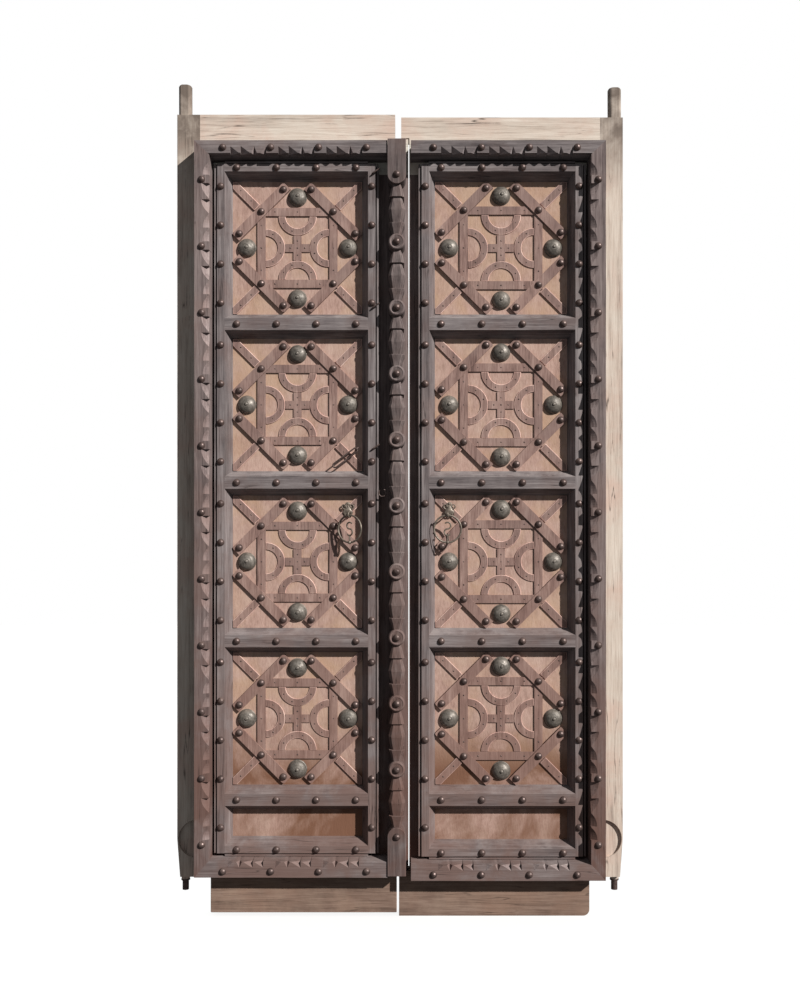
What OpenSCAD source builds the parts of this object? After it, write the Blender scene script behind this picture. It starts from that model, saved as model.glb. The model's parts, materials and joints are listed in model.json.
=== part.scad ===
// Pair of carved pivot door leaves: two framed and panelled leaves that meet under one carved
// cover strip. Each leaf turns on the pivots of its outer post and opens towards +Y.
// Front faces -Y. The origin is the bottom centre of the closed pair.

/* [Leaves] */
// Height of the right leaf's boards, from the foot of the tab to the top edge
leaf_h = 1996; // [1660:1:2400]
// Distance from the middle line to each pivot's axis
pivot_x = 540; // [450:1:660]
// Thickness of the posts, stiles, rails and boards behind the mouldings
board_t = 42; // [36:1:60]
// How much higher the left leaf's top edge stands than the right's
left_rise = 7; // [0:1:12]
// How much higher the left leaf's foot stops than the right's
left_lift = 8; // [0:1:12]

/* [Seam] */
// How far the left leaf's edge reaches past the middle line, behind the cover strip
seam_x = 21; // [18:0.5:26]
// Gap between the two leaves' edges behind the cover strip
seam_gap = 2.5; // [2:0.5:4]
// Distance of the boards' inner edge from the middle line above the mouldings, [left, right]
margin_edge = [12, 3]; // [0:1:30]
// Distance of the boards' inner edge from the middle line in the bottom tab, [left, right]
tab_edge = [8, -2.5]; // [-5:0.5:30]
// Gap at the upper step, where the right leaf's edge passes over the left one's
step_gap = 3; // [2:0.5:6]
// Gap at the lower step, where the right leaf's tab passes under the left leaf's edge
low_step_gap = 7; // [4:0.5:10]
// Clearance of the right leaf's mouldings from the left leaf's edge as they swing past it
swing_play = 1; // [0.5:0.5:3]
// Height of the upper step above the mouldings' top
step_up = 25; // [15:1:40]

/* [Foot tabs] */
// How far a foot tab's outer end stands in from the mouldings' outer edge
tab_in = 31; // [20:1:60]
// Radius of a foot tab's lower outer corner, [left, right]
tab_corner = [3, 16]; // [2:1:20]
// Width of the tenons that hold a foot tab in the bottom board
tenon_w = 60; // [40:1:90]
// Height of the tenons
tenon_h = 22; // [15:1:28]
// Thickness of the tenons
tenon_t = 11; // [8:1:12]
// Distance of the tenons from the boards' back
tenon_back = 4; // [3:1:5]
// Distance of each tenon's middle from the leaf's middle
tenon_out = 90; // [80:1:150]
// Clearance around the tenons
tenon_play = 0.2; // [0.1:0.05:0.4]

/* [Pivots] */
// Radius of the round top pivot
pivot_r = 16.5; // [12:0.5:22]
// Height of the top pivot above the boards
pivot_h = 79; // [50:1:110]
// Depth of the flat that is cut along the front of the top pivot
pivot_flat = 3; // [0:0.5:3.5]
// How far the post's outer face stands past the round pivot
post_lip = 0.5; // [0.5:0.5:4]
// Width of the post that carries the pivots
post_w = 57; // [45:1:70]
// Height of the post's lower end above the foot of the right leaf's tab
post_foot = 97; // [80:1:110]
// How far the rounded lower stub stands below the post
stub_h = 10; // [6:1:14]
// Radius of the lower stub where it leaves the post
stub_r = 13; // [11.5:0.5:16]
// Radius of the iron pin inside the lower stub
spigot_r = 6; // [4:0.5:7]
// Depth of the bore that the iron pin enters
spigot_l = 44; // [25:1:60]
// Radius of the iron pin's free end
pin_r = 8; // [6:0.5:9]
// Length of the iron pin's free end below its collar
pin_l = 24; // [15:1:35]
// Radius of the collar that the stub stands on
collar_r = 11; // [10:0.5:14]
// Thickness of the collar
collar_t = 3; // [2:0.5:6]
// Radial clearance between the iron pin and its bore
pin_play = 0.05; // [0.02:0.01:0.09]

/* [Mouldings] */
// Height of the bottom tab below the bottom moulding
tab_h = 104; // [70:1:140]
// Height of the plain margin above the top moulding
margin_h = 77; // [50:1:110]
// How far the mouldings stand in front of the boards
moulding_rise = 50; // [35:1:60]
// Height of a moulding's inner edge in front of the boards, below its carved slope
moulding_lip = 14; // [8:1:24]
// Distance from the pivot's axis in to the side moulding's outer edge
moulding_in = 35.5; // [25:0.5:50]
// Width of the side moulding
side_w = 38; // [30:1:48]
// Width of the side moulding's flat face
side_flat = 27; // [22:1:34]
// Width of the top moulding
top_w = 36; // [30:1:46]
// Width of the top moulding's flat face
top_flat = 22; // [20:1:30]
// Width of the bottom moulding
bottom_w = 43; // [34:1:50]
// Width of the bottom moulding's flat face
bottom_flat = 24; // [20:1:32]

/* [Cover strip] */
// How far the middle of the cover strip lies left of the middle line
cover_left = 8; // [4:0.5:10]
// Width of the cover strip
cover_w = 45; // [40:1:50]
// How far the cover strip stands in front of the boards
cover_rise = 54; // [40:1:64]
// Length of the plain rounded tab at the cover strip's top
cover_top_tab = 110; // [80:1:150]
// Length of the plain rounded tab at the cover strip's bottom
cover_low_tab = 119; // [80:1:150]
// How far the strip's foot stays clear of the right leaf's foot tab, which it passes over
cover_up = 4; // [2:0.5:8]
// Radius of the round medallions
medallion_r = 20; // [16:0.5:22]
// Number of medallions
medallions = 9; // [5:1:12]

/* [Inner frame] */
// Groove between the side moulding and the stile batten
side_groove = 13.5; // [10:0.5:20]
// Groove between the top moulding and the top batten
top_groove = 12; // [10:0.5:20]
// Groove between the bottom moulding and the bottom batten
bottom_groove = 8.5; // [8:0.5:16]
// Width of a batten's flat face
batten_w = 18.5; // [14:0.5:26]
// How far battens and rails stand in front of the boards
batten_rise = 24; // [18:1:34]
// Distance from the middle line to the meeting batten's near edge, [left, right]
meeting_inset = [60.5, 53.5]; // [50:0.5:70]
// Width of the bevel that runs down to the panels
bevel_w = 15.5; // [10:0.5:20]
// Width of the narrow bead along a batten's outer side
bead_w = 4.5; // [3:0.5:5]
// Height of the bead
bead_rise = 20; // [4:0.5:22]
// Gap between the bead and the batten
bead_gap = 3; // [2:0.5:3]
// Height of the bead's foot
bead_foot = 3; // [2:0.5:4]
// Width of a cross rail's flat face
rail_w = 30; // [24:1:40]
// Height of the low panel's opening between its battens
low_panel_h = 107; // [90:1:140]

/* [Panels] */
// How far the panels lie behind the boards' front
panel_set = 8; // [4:1:12]
// Thickness of a panel
panel_t = 14; // [10:1:18]
// Depth of the grooves that hold the panels
panel_groove = 8; // [5:1:10]
// Gap left for the panel's edge to move in its groove
panel_play = 1; // [0.5:0.5:2]

/* [Lattice] */
// Distance from a panel's edge to the square frame
square_in = 62; // [50:1:80]
// Width of the square frame's straps
square_w = 20.5; // [14:0.5:26]
// Thickness of the square frame's straps
square_t = 4; // [3:0.5:6]
// Width of the diagonal straps
diamond_w = 25; // [16:0.5:30]
// Thickness of the diagonal straps
diamond_t = 7.5; // [6.5:0.5:14]
// Width of the straps in the corners
corner_w = 20; // [12:0.5:26]
// Thickness of the straps in the corners
corner_t = 4.5; // [3:0.5:10]
// Radial width of the half rings
arc_w = 18; // [12:0.5:20]
// Thickness of the half rings and of the cross
arc_t = 3; // [2:0.5:6]
// Width of the cross's straps
cross_w = 20; // [12:0.5:24]
// Least distance from a diagonal strap's corner to where its tip is cut off
tip_cut = 18; // [14:1:24]
// Radius of the half rings as a share of the square's half opening
arc_share = 0.6; // [0.5:0.05:0.65]
// Gap between neighbouring pieces of the lattice
lattice_gap = 0.5; // [0.3:0.1:1]

/* [Iron studs] */
// Radius of a stud's domed head
stud_r = 9; // [6:0.5:11]
// Height of a stud's head
stud_h = 7.5; // [5:0.5:9]
// Radius of a stud's shank
shank_r = 2.5; // [1.5:0.5:3]
// How far a shank bites into the wood behind the piece it holds
shank_bite = 10; // [6:1:12]
// Radial clearance round a shank
shank_play = 0.1; // [0.05:0.05:0.3]
// Radius of a large boss
boss_r = 23; // [16:0.5:24]
// Height of a large boss
boss_h = 15; // [12:0.5:22]
// Radius of the nipple on a boss
nipple_r = 4; // [2:0.5:6]
// Distance from the lattice's tip to a boss's middle
boss_in = 35; // [28:1:40]
// Distance from the lattice's tip to the nearest stud
stud_in = 17; // [12:1:20]
// How far a diagonal strap runs past its end studs
strap_past = 13; // [10:0.5:16]
// Distance from an opening's edge to the end stud of a rail or an end batten
rail_stud_in = 30; // [20:1:40]
// Distance from the opening's inner edge to the first stud of a long moulding
moulding_stud_in = 10; // [0:1:30]
// Distance from a rail's face to the nearest stud of a stile batten
cell_stud_in = 37; // [25:1:50]
// Studs on the side moulding
side_studs = 11; // [6:1:14]
// Height of the lowest of them above the bottom moulding's foot
side_stud_z = 88; // [60:1:120]
// Distance from the side moulding's highest stud to its top
side_stud_top = 96; // [60:1:130]

/* [Ring pulls] */
// Radius of a ring's wire
wire_r = 2.4; // [1.8:0.1:3]
// Radius of a ring, to the middle of its wire
ring_r = 33.5; // [26:0.5:38]
// Turn of the hanging ring about the vertical, [left, right]
ring_turn = [30, 0]; // [0:1:30]
// How far the ring hangs in front of the boards
ring_rise = 30; // [28:1:36]
// Radius of the eye that holds the ring, to the middle of its wire
eye_r = 6.6; // [6:0.1:9]
// Radius of the eye's wire
eye_wire_r = 1.8; // [1.4:0.1:2.2]
// Gap between the ring's wire and the eye it hangs in
eye_gap = 0.5; // [0.3:0.1:1]
// Distance from the panel's visible corner to the scrolled plate's middle
plate_in = 36; // [32:1:44]
// Distance of the eye from the plate's middle, towards the seam
eye_in = 6; // [0:0.5:8]
// Distance of the eye below the plate's middle
eye_down = 13; // [8:0.5:13]
// Thickness of the scrolled plate behind the eye
plate_t = 3; // [2:0.5:5]
// Radius of the bead at the ring's foot
ring_bead_r = 4.5; // [3:0.5:6]
// Radius of each half of the scroll inside the ring
scroll_r = 8; // [6:0.5:9]

/* [Latch iron] */
// Radius of the latch iron's wire
iron_r = 1.9; // [1.5:0.1:2.3]
// Distance from the panel's visible edge to the eye that holds the long link
link_in = 13; // [10:1:25]
// Height of that eye above the rail's bevel
link_up = 53.5; // [50:0.5:70]
// Length of the long link, between the middles of its bends
link_l = 62; // [50:1:70]
// Radius of the long link's bends, to the middle of the wire
link_r = 5.4; // [4.8:0.1:8]
// Slant of the long link below the horizontal
link_slant = 37; // [20:1:40]
// How far the long link lies in front of the boards
link_rise = 12; // [10:1:24]
// Radius of the eye that holds the long link, to the middle of its wire
link_eye_r = 5; // [4.8:0.1:7]
// Height of each staple above the rail below it, or above the frame's opening for the last
staple_up = [81, 37, -9]; // [-20:1:90]
// Radius of each staple's bend
staple_bend = 8; // [6:0.5:10]
// Length of each staple's straight arm
staple_arm = 15; // [10:1:20]
// Slant of the staples' arms above the horizontal
staple_slant = 34; // [0:1:40]
// Radius of the open hook, to the middle of its wire
hook_r = 9; // [7:0.5:9]
// Radius of the open hook's wire
hook_wire_r = 1.6; // [1.2:0.1:1.8]
// How far the open hook stands in front of the boards
hook_rise = 30; // [27:1:36]
// Distance from the meeting batten's edge to the open hook's middle
hook_in = 17; // [15:0.5:17]
// Distance of the open hook's middle below the rail's middle line
hook_down = 26; // [20:1:40]

/* [Hidden] */

$fn = 48;
left = 0;
right = 1;
wood = [0.50, 0.41, 0.39];
pale_wood = [0.78, 0.70, 0.62];
panel_wood = [0.69, 0.55, 0.49];
iron = [0.27, 0.24, 0.22];
patina = [0.42, 0.40, 0.35];

// Each leaf is drawn with x running outwards from the middle line, and the left one is mirrored.
// Depths are measured forwards from the boards' front, so a depth of 10 lies at y = -10.
front_reach = cover_rise + stud_h;
centre_y = (front_reach - board_t) / 2;
axis_depth = -board_t / 2;

// Outlines in x
post_out = pivot_x + pivot_r + post_lip;
post_in = post_out - post_w;
moulding_out = pivot_x - moulding_in;
groove_out = moulding_out - side_w;
batten_out = groove_out - side_groove;
open_out = batten_out - batten_w;
seam_edge = [-seam_x, seam_x + seam_gap];
open_in = [for (s = [left, right]) meeting_inset[s] + batten_w];
swing_reach = pivot_x - seam_x - swing_play;
swing_depth = moulding_rise + board_t / 2;
swing_edge = pivot_x - sqrt(pow(swing_reach, 2) - pow(swing_depth, 2));
cover_edge = [cover_left + cover_w / 2 + lattice_gap, swing_edge];
leaf_mid = [for (s = [left, right]) (open_out + open_in[s]) / 2];
half_open = [for (s = [left, right]) (open_out - open_in[s]) / 2];

// Outlines in z
lift = [left_lift, 0];
top_z = [leaf_h + left_rise, leaf_h];
frame_top = leaf_h - margin_h;
frame_low = [for (s = [left, right]) tab_h + lift[s]];
top_open = frame_top - top_w - top_groove - batten_w;
low_open = [for (s = [left, right]) frame_low[s] + bottom_w + bottom_groove + batten_w];
low_top = low_open[right] + low_panel_h;
cell_h = (top_open - low_top - 4 * rail_w) / 4;
pitch = cell_h + rail_w;
function rail_z(k) = low_top + rail_w / 2 + k * pitch;
function cell_z(k) = rail_z(k) + pitch / 2;
low_step = frame_low[left] + low_step_gap;
board_low = [low_step, low_step - low_step_gap];
top_step = frame_top + step_up;

// One panel's lattice, measured from the panel's middle
half_w = [for (s = [left, right]) half_open[s] - bevel_w];
half_h = cell_h / 2 - bevel_w;
square_half = [for (s = [left, right]) min(half_w[s], half_h) - square_in];
reach = [for (s = [left, right]) 2 * square_half[s] - square_w];
tip_x = [for (s = [left, right]) min(half_w[s], reach[s] - tip_cut)];
tip_z = [for (s = [left, right]) min(half_h, reach[s] - tip_cut)];
inner_half = [for (s = [left, right]) square_half[s] - square_w];
arc_r = [for (s = [left, right]) arc_share * inner_half[s]];
square_face = square_t - panel_set;
diamond_face = diamond_t - panel_set;
corner_face = corner_t - panel_set;
arc_face = arc_t - panel_set;

// Places of the studs, as [x, z] on each leaf
function spread(low, high, count) =
    [for (k = [0 : count - 1]) low + (high - low) * k / (count - 1)];
stud_line = [for (s = [left, right]) 
    spread(open_in[s] + rail_stud_in, open_out - rail_stud_in, 4)];
wide_line = spread(open_in[right] + moulding_stud_in, open_out, 4);
side_points = [for (s = [left, right])
    [for (z = spread(frame_low[right] + side_stud_z, frame_top - side_stud_top, side_studs))
        [moulding_out - stud_r * 2, z]]];
top_points = [for (x = wide_line) [x, frame_top - top_flat + stud_r / 2]];
bottom_points = [for (s = [left, right])
    [for (x = wide_line) [x, frame_low[s] + bottom_flat - stud_r]]];
end_points = [for (s = [left, right]) concat(
    [for (x = stud_line[s]) [x, top_open + batten_w / 2]],
    [for (x = stud_line[s]) [x, low_open[s] - batten_w / 2]])];
cell_line = spread(cell_stud_in - cell_h / 2, cell_h / 2 - cell_stud_in, 4);
stile_line = concat([(low_open[right] + low_top) / 2],
    [for (k = [0 : 3]) for (z = cell_line) cell_z(k) + z]);
stile_points = [for (s = [left, right]) concat(
    [for (z = stile_line) [batten_out - batten_w / 2, z]],
    [for (z = stile_line) [meeting_inset[s] + batten_w / 2, z]])];
rail_points = [for (s = [left, right])
    [for (k = [0 : 3]) for (x = stud_line[s]) [x, rail_z(k)]]];
cell_points = [for (s = [left, right]) [for (a = [-1, 1]) for (b = [-1, 1])
    for (p = [[tip_x[s] - stud_in, reach[s] - tip_x[s] + stud_in],
              [reach[s] / 2, reach[s] / 2],
              [reach[s] - tip_z[s] + stud_in, tip_z[s] - stud_in]])
        [a * p[0], b * p[1]]]];
boss_points = [for (s = [left, right]) [
    [tip_x[s] - boss_in, 0], [boss_in - tip_x[s], 0],
    [0, tip_z[s] - boss_in], [0, boss_in - tip_z[s]]]];
function in_cell(points, s, k) =
    [for (p = points) [leaf_mid[s] + p[0], cell_z(k) + p[1]]];

// The cover strip, from the top of its low tab up to the foot of its top tab
cover_low = frame_low[left] + cover_up;
cover_high = frame_top + 3;
carved_low = cover_low + cover_low_tab;
carved_high = cover_high - cover_top_tab;
carved_gap = (carved_high - carved_low - 2 * medallions * medallion_r) / (medallions + 1);
function medallion_z(k) =
    carved_low + (k + 1) * carved_gap + (2 * k + 1) * medallion_r;
cover_points = concat(
    [for (k = [0 : medallions - 1]) [cover_left, medallion_z(k)]],
    [[cover_left, carved_low - cover_w / 2], [cover_left, carved_high + cover_w / 2]]);

// The ring pulls
plate_x = [for (s = [left, right]) leaf_mid[s] - half_w[s] + plate_in];
plate_z = cell_z(1) + half_h - plate_in;
eye_x = [for (s = [left, right]) plate_x[s] - eye_in];
eye_z = plate_z - eye_down;
ring_top = eye_z - eye_r + eye_wire_r + wire_r + eye_gap;

// The latch iron, whose stems sit in holes in the wood
link_x = open_in[left] + bevel_w + link_in;
link_z = rail_z(2) + rail_w / 2 + bevel_w + link_up;
staple_x = meeting_inset[left] + batten_w / 2;
staple_points = [[staple_x, rail_z(2) + staple_up[0]], [staple_x, rail_z(3) + staple_up[1]],
                 [staple_x, top_open + staple_up[2]]];
hook_x = meeting_inset[left] - hook_in;
hook_z = rail_z(2) - hook_down;

module on_side(s) {
    translate([0, centre_y, 0]) {
        if (s == left) {
            mirror([1, 0, 0]) children();
        } else {
            children();
        }
    }
}

module slab(x0, x1, z0, z1, back, front) {
    translate([x0, -front, z0]) cube([x1 - x0, front - back, z1 - z0]);
}

// Extrudes a (y, z) outline along x
module along_x(x0, x1) {
    translate([x0, 0, 0]) rotate([90, 0, 90]) linear_extrude(x1 - x0) children();
}

// Extrudes an (x, y) outline along z
module along_z(z0, z1) {
    translate([0, 0, z0]) linear_extrude(z1 - z0) children();
}

// Extrudes an (x, z) outline from one depth to another
module along_y(back, front) {
    translate([0, -back, 0]) rotate([90, 0, 0]) linear_extrude(front - back) children();
}

// Holes for shanks or stems that enter the wood at the given depth
module shank_holes(points, face, length, shank = shank_r) {
    for (p = points) {
        translate([p[0], -face, p[1]]) rotate([-90, 0, 0])
            translate([0, 0, -1]) cylinder(h = length + 1, r = shank + shank_play);
    }
}

// Arc of round wire, bent in the (x, z) plane
module wire_arc(radius, wire, start, sweep) {
    rotate([90, 0, 0]) rotate([0, 0, start]) rotate_extrude(angle = sweep)
        translate([radius, 0]) circle(r = wire, $fn = 24);
}

// A domed stud whose head sits at the given depth, with its shank running back into the wood
module stud(face, length) {
    dome = (stud_r * stud_r + stud_h * stud_h) / (2 * stud_h);
    translate([0, -face, 0]) {
        intersection() {
            translate([0, dome - stud_h, 0]) sphere(r = dome);
            translate([-stud_r - 1, -stud_h - 1, -stud_r - 1])
                cube([2 * stud_r + 2, stud_h + 1, 2 * stud_r + 2]);
        }
        rotate([-90, 0, 0]) cylinder(h = length, r = shank_r);
    }
}

module studs(points, face, length) {
    for (p = points) {
        translate([p[0], 0, p[1]]) stud(face, length);
    }
}

// A large domed boss with a nipple, seated on a panel
module boss() {
    dome = (boss_r * boss_r + boss_h * boss_h) / (2 * boss_h);
    translate([0, panel_set, 0]) {
        intersection() {
            translate([0, dome - boss_h, 0]) sphere(r = dome);
            translate([-boss_r - 1, -boss_h - 1, -boss_r - 1])
                cube([2 * boss_r + 2, boss_h + 1, 2 * boss_r + 2]);
        }
        translate([0, -boss_h + 1, 0]) sphere(r = nipple_r);
        rotate([-90, 0, 0]) cylinder(h = shank_bite, r = shank_r);
    }
}

// Iron pin that the leaf turns on: a spigot inside the stub, a collar and a free end below
module lower_pivot_pin(s) {
    color(iron) on_side(s) translate([pivot_x, -axis_depth, post_foot - stub_h]) {
        cylinder(h = spigot_l - 1, r = spigot_r);
        translate([0, 0, -collar_t]) cylinder(h = collar_t, r = collar_r);
        translate([0, 0, -collar_t - pin_l]) cylinder(h = pin_l, r = pin_r);
    }
}

// Outer post with a round pivot at the top and a tapered stub at the bottom
module pivot_post(s) {
    stub_z = post_foot - stub_h;
    taper_h = 95;
    taper_w = 7;
    relief_r = 48;
    relief_t = 8;
    tip_h = 3;
    tip_in = 1.7;
    color(pale_wood) on_side(s) difference() {
        union() {
            along_y(-board_t, 0) polygon([
                [post_in, post_foot], [post_out - taper_w, post_foot],
                [post_out, post_foot + taper_h], [post_out, top_z[s]], [post_in, top_z[s]]]);
            translate([pivot_x, -axis_depth, stub_z + 0.3])
                cylinder(h = stub_h + 1, r1 = stub_r - 3, r2 = stub_r);
            difference() {
                translate([pivot_x, -axis_depth, top_z[s] - 1]) {
                    cylinder(h = pivot_h + 1 - tip_h, r = pivot_r);
                    translate([0, 0, pivot_h + 1 - tip_h])
                        cylinder(h = tip_h, r1 = pivot_r, r2 = pivot_r - tip_in);
                }
                translate([pivot_x - pivot_r, -axis_depth - pivot_r - 1, top_z[s]])
                    cube([2 * pivot_r, pivot_flat + 1, pivot_h + 1]);
            }
        }
        translate([pivot_x, -axis_depth, stub_z - 1])
            cylinder(h = spigot_l + 1, r = spigot_r + pin_play);
        along_y(-relief_t, 1) translate([moulding_out + 2, post_foot + taper_h])
            circle(r = relief_r);
    }
}

// Stile at the post's side, grooved for the panels
module hanging_stile(s) {
    color(wood) on_side(s) difference() {
        slab(open_out, post_in, low_open[s], top_open, -board_t, 0);
        slab(open_out - 1, open_out + panel_groove, low_open[s] - 1, top_open + 1,
            -panel_set - panel_t, -panel_set);
        shank_holes(side_points[s], 0, shank_bite);
        shank_holes([for (p = stile_points[s]) if (p[0] > leaf_mid[s]) p], 0, shank_bite);
    }
}

// Stile at the seam, grooved for the panels
module meeting_stile(s) {
    color(wood) on_side(s) difference() {
        slab(seam_edge[s], open_in[s], low_open[s], top_open, -board_t, 0);
        slab(open_in[s] - panel_groove, open_in[s] + 1, low_open[s] - 1, top_open + 1,
            -panel_set - panel_t, -panel_set);
        shank_holes([for (p = stile_points[s]) if (p[0] < leaf_mid[s]) p], 0, shank_bite);
        if (s == left) {
            shank_holes(cover_points, 0, shank_bite);
            shank_holes([[hook_x, hook_z - hook_r]], 0, shank_bite, hook_wire_r);
        }
    }
}

// Wide board across the top, whose upper margin stays bare
module top_board(s) {
    color(pale_wood) on_side(s) difference() {
        union() {
            slab(seam_edge[s], post_in, top_open, top_step - (s == left ? step_gap : 0),
                -board_t, 0);
            slab(margin_edge[s], post_in, top_step, top_z[s], -board_t, 0);
            slab(max(margin_edge[s], seam_edge[s]), post_in, top_open, top_z[s], -board_t, 0);
        }
        slab(open_in[s] - panel_groove, open_out + panel_groove,
            top_open - 1, top_open + panel_groove, -panel_set - panel_t, -panel_set);
        shank_holes(top_points, 0, shank_bite);
        shank_holes([for (p = end_points[s]) if (p[1] > frame_top / 2) p], 0, shank_bite);
        if (s == left) {
            shank_holes(cover_points, 0, shank_bite);
        }
    }
}

module tenons(s, play) {
    for (x = [leaf_mid[s] - tenon_out, leaf_mid[s] + tenon_out]) {
        slab(x - tenon_w / 2 - play, x + tenon_w / 2 + play, board_low[s] - 1,
            board_low[s] + tenon_h + play, -board_t + tenon_back - play,
            -board_t + tenon_back + tenon_t + play);
    }
}

// Wide board across the bottom, behind the mouldings
module bottom_board(s) {
    color(wood) on_side(s) difference() {
        slab(seam_edge[s], post_in, board_low[s], low_open[s], -board_t, 0);
        slab(open_in[s] - panel_groove, open_out + panel_groove,
            low_open[s] - panel_groove, low_open[s] + 1, -panel_set - panel_t, -panel_set);
        tenons(s, tenon_play);
        shank_holes(bottom_points[s], 0, shank_bite);
        shank_holes(side_points[s], 0, shank_bite);
        shank_holes([for (p = end_points[s]) if (p[1] < frame_top / 2) p], 0, shank_bite);
        if (s == left) {
            shank_holes(cover_points, 0, shank_bite);
        }
    }
}

// Bare board that hangs below the mouldings, with tenons that stand up into the bottom board
module foot_tab(s) {
    tab_out = moulding_out - tab_in;
    r = tab_corner[s];
    color(wood) on_side(s) union() {
        slab(tab_edge[s], tab_out, lift[s] + r, board_low[s], -board_t, 0);
        slab(tab_edge[s], tab_out - r, lift[s], lift[s] + r + 1, -board_t, 0);
        along_y(-board_t, 0) translate([tab_out - r, lift[s] + r]) circle(r = r);
        tenons(s, 0);
    }
}

// Outline of a rail in (y, z): grooved core behind, bevelled face in front
module rail_outline() {
    h = rail_w / 2;
    back = board_t;
    deep = panel_set + panel_t;
    polygon([
        [-batten_rise, -h], [panel_set, -h - bevel_w], [panel_set, panel_groove - h],
        [deep, panel_groove - h], [deep, -h], [back, -h],
        [back, h], [deep, h], [deep, h - panel_groove],
        [panel_set, h - panel_groove], [panel_set, h + bevel_w], [-batten_rise, h]]);
}

module rail_bars(s) {
    for (k = [0 : 3]) {
        translate([0, 0, rail_z(k)]) along_x(open_in[s], open_out) rail_outline();
    }
}

module rails(s) {
    color(wood) on_side(s) difference() {
        rail_bars(s);
        shank_holes(rail_points[s], batten_rise, batten_rise + shank_bite);
    }
}

// Outline of a batten in (across, y): bead outside, flat face, bevel down to the panel
module batten_outline() {
    foot = bead_gap + bead_w;
    polygon([
        [-foot, 0], [-foot, -bead_rise], [-bead_gap, -bead_rise], [-bead_gap, -bead_foot],
        [0, -bead_foot], [0, -batten_rise], [batten_w, -batten_rise],
        [batten_w + bevel_w, panel_set], [batten_w, panel_set], [batten_w, 0]]);
}

module end_batten_bars(s) {
    for (top = [false, true]) {
        translate([0, 0, top ? top_open + batten_w : low_open[s] - batten_w])
            along_x(open_in[s], open_out) rotate(90) mirror([0, 1]) mirror([top ? 1 : 0, 0])
                batten_outline();
    }
}

// Bevelled battens across the top and the bottom of the inner frame
module end_battens(s) {
    color(wood) on_side(s) difference() {
        end_batten_bars(s);
        shank_holes(end_points[s], batten_rise, batten_rise + shank_bite);
    }
}

// Bevelled battens up both sides of the inner frame, cut away where rails and end battens meet them
module stile_battens(s) {
    low = low_open[s] - batten_w;
    high = top_open + batten_w;
    color(wood) on_side(s) difference() {
        union() {
            along_z(low, high) translate([batten_out, 0]) mirror([1, 0]) batten_outline();
            along_z(low, high) translate([meeting_inset[s], 0]) batten_outline();
        }
        rail_bars(s);
        end_batten_bars(s);
        slab(open_in[s], open_out, low - 1, low_open[s], -panel_set - 1, batten_rise + 1);
        slab(open_in[s], open_out, top_open, high + 1, -panel_set - 1, batten_rise + 1);
        shank_holes(stile_points[s], batten_rise, batten_rise + shank_bite);
        if (s == left) {
            shank_holes(staple_points, batten_rise, shank_bite, iron_r);
        }
    }
}

// Four square panels and the low one, held in the grooves
module panels(s) {
    grip = panel_groove - panel_play;
    color(panel_wood) on_side(s) {
        slab(open_in[s] - grip, open_out + grip, low_open[s] - grip, low_top + grip,
            -panel_set - panel_t, -panel_set);
        for (k = [0 : 3]) {
            difference() {
                slab(open_in[s] - grip, open_out + grip,
                    cell_z(k) - cell_h / 2 - grip, cell_z(k) + cell_h / 2 + grip,
                    -panel_set - panel_t, -panel_set);
                shank_holes(in_cell(cell_points[s], s, k), -panel_set, shank_bite);
                shank_holes(in_cell(boss_points[s], s, k), -panel_set, shank_bite);
                if (s == left) {
                    shank_holes([[link_x, link_z]], -panel_set, shank_bite, eye_wire_r);
                }
            }
        }
    }
}

module top_moulding(s) {
    color(wood) on_side(s) difference() {
        intersection() {
            along_x(cover_edge[s], moulding_out) polygon([
                [0, frame_top], [-moulding_rise, frame_top],
                [-moulding_rise, frame_top - top_flat], [-moulding_lip, frame_top - top_w],
                [0, frame_top - top_w]]);
            along_y(0, moulding_rise) polygon([
                [cover_edge[s], frame_top], [moulding_out, frame_top],
                [groove_out, frame_top - top_w], [cover_edge[s], frame_top - top_w]]);
        }
        shank_holes(top_points, moulding_rise, moulding_rise + 1);
    }
}

module side_moulding(s) {
    color(wood) on_side(s) difference() {
        intersection() {
            along_z(frame_low[s], frame_top) polygon([
                [moulding_out, 0], [moulding_out, -moulding_rise],
                [moulding_out - side_flat, -moulding_rise], [groove_out, -moulding_lip],
                [groove_out, 0]]);
            along_y(0, moulding_rise) polygon([
                [moulding_out, frame_low[s]], [moulding_out, frame_top],
                [groove_out, frame_top - top_w], [groove_out, frame_low[s] + bottom_w]]);
        }
        shank_holes(side_points[s], moulding_rise, moulding_rise + 1);
    }
}

module bottom_moulding(s) {
    low = frame_low[s];
    color(wood) on_side(s) difference() {
        intersection() {
            along_x(cover_edge[s], moulding_out) polygon([
                [0, low], [-moulding_rise, low], [-moulding_rise, low + bottom_flat],
                [-moulding_lip, low + bottom_w], [0, low + bottom_w]]);
            along_y(0, moulding_rise) polygon([
                [cover_edge[s], low], [moulding_out, low],
                [groove_out, low + bottom_w], [cover_edge[s], low + bottom_w]]);
        }
        shank_holes(bottom_points[s], moulding_rise, moulding_rise + 1);
    }
}

// Draws its children once in each of the four square panels
module in_cells(s) {
    for (k = [0 : 3]) {
        translate([leaf_mid[s], 0, cell_z(k)]) children();
    }
}

module square_bars(s) {
    h = square_half[s];
    w = square_w;
    for (a = [-1, 1]) {
        translate([0, 0, a * (h - w / 2)]) slab(-h, h, -w / 2, w / 2, -panel_set, square_face);
        translate([a * (h - w / 2), 0, 0])
            slab(-w / 2, w / 2, w - h, h - w, -panel_set, square_face);
    }
}

module square_frames(s) {
    color(wood) on_side(s) difference() {
        in_cells(s) square_bars(s);
        for (k = [0 : 3]) {
            shank_holes(in_cell(cell_points[s], s, k), square_face, square_t + 1);
        }
    }
}

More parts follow.
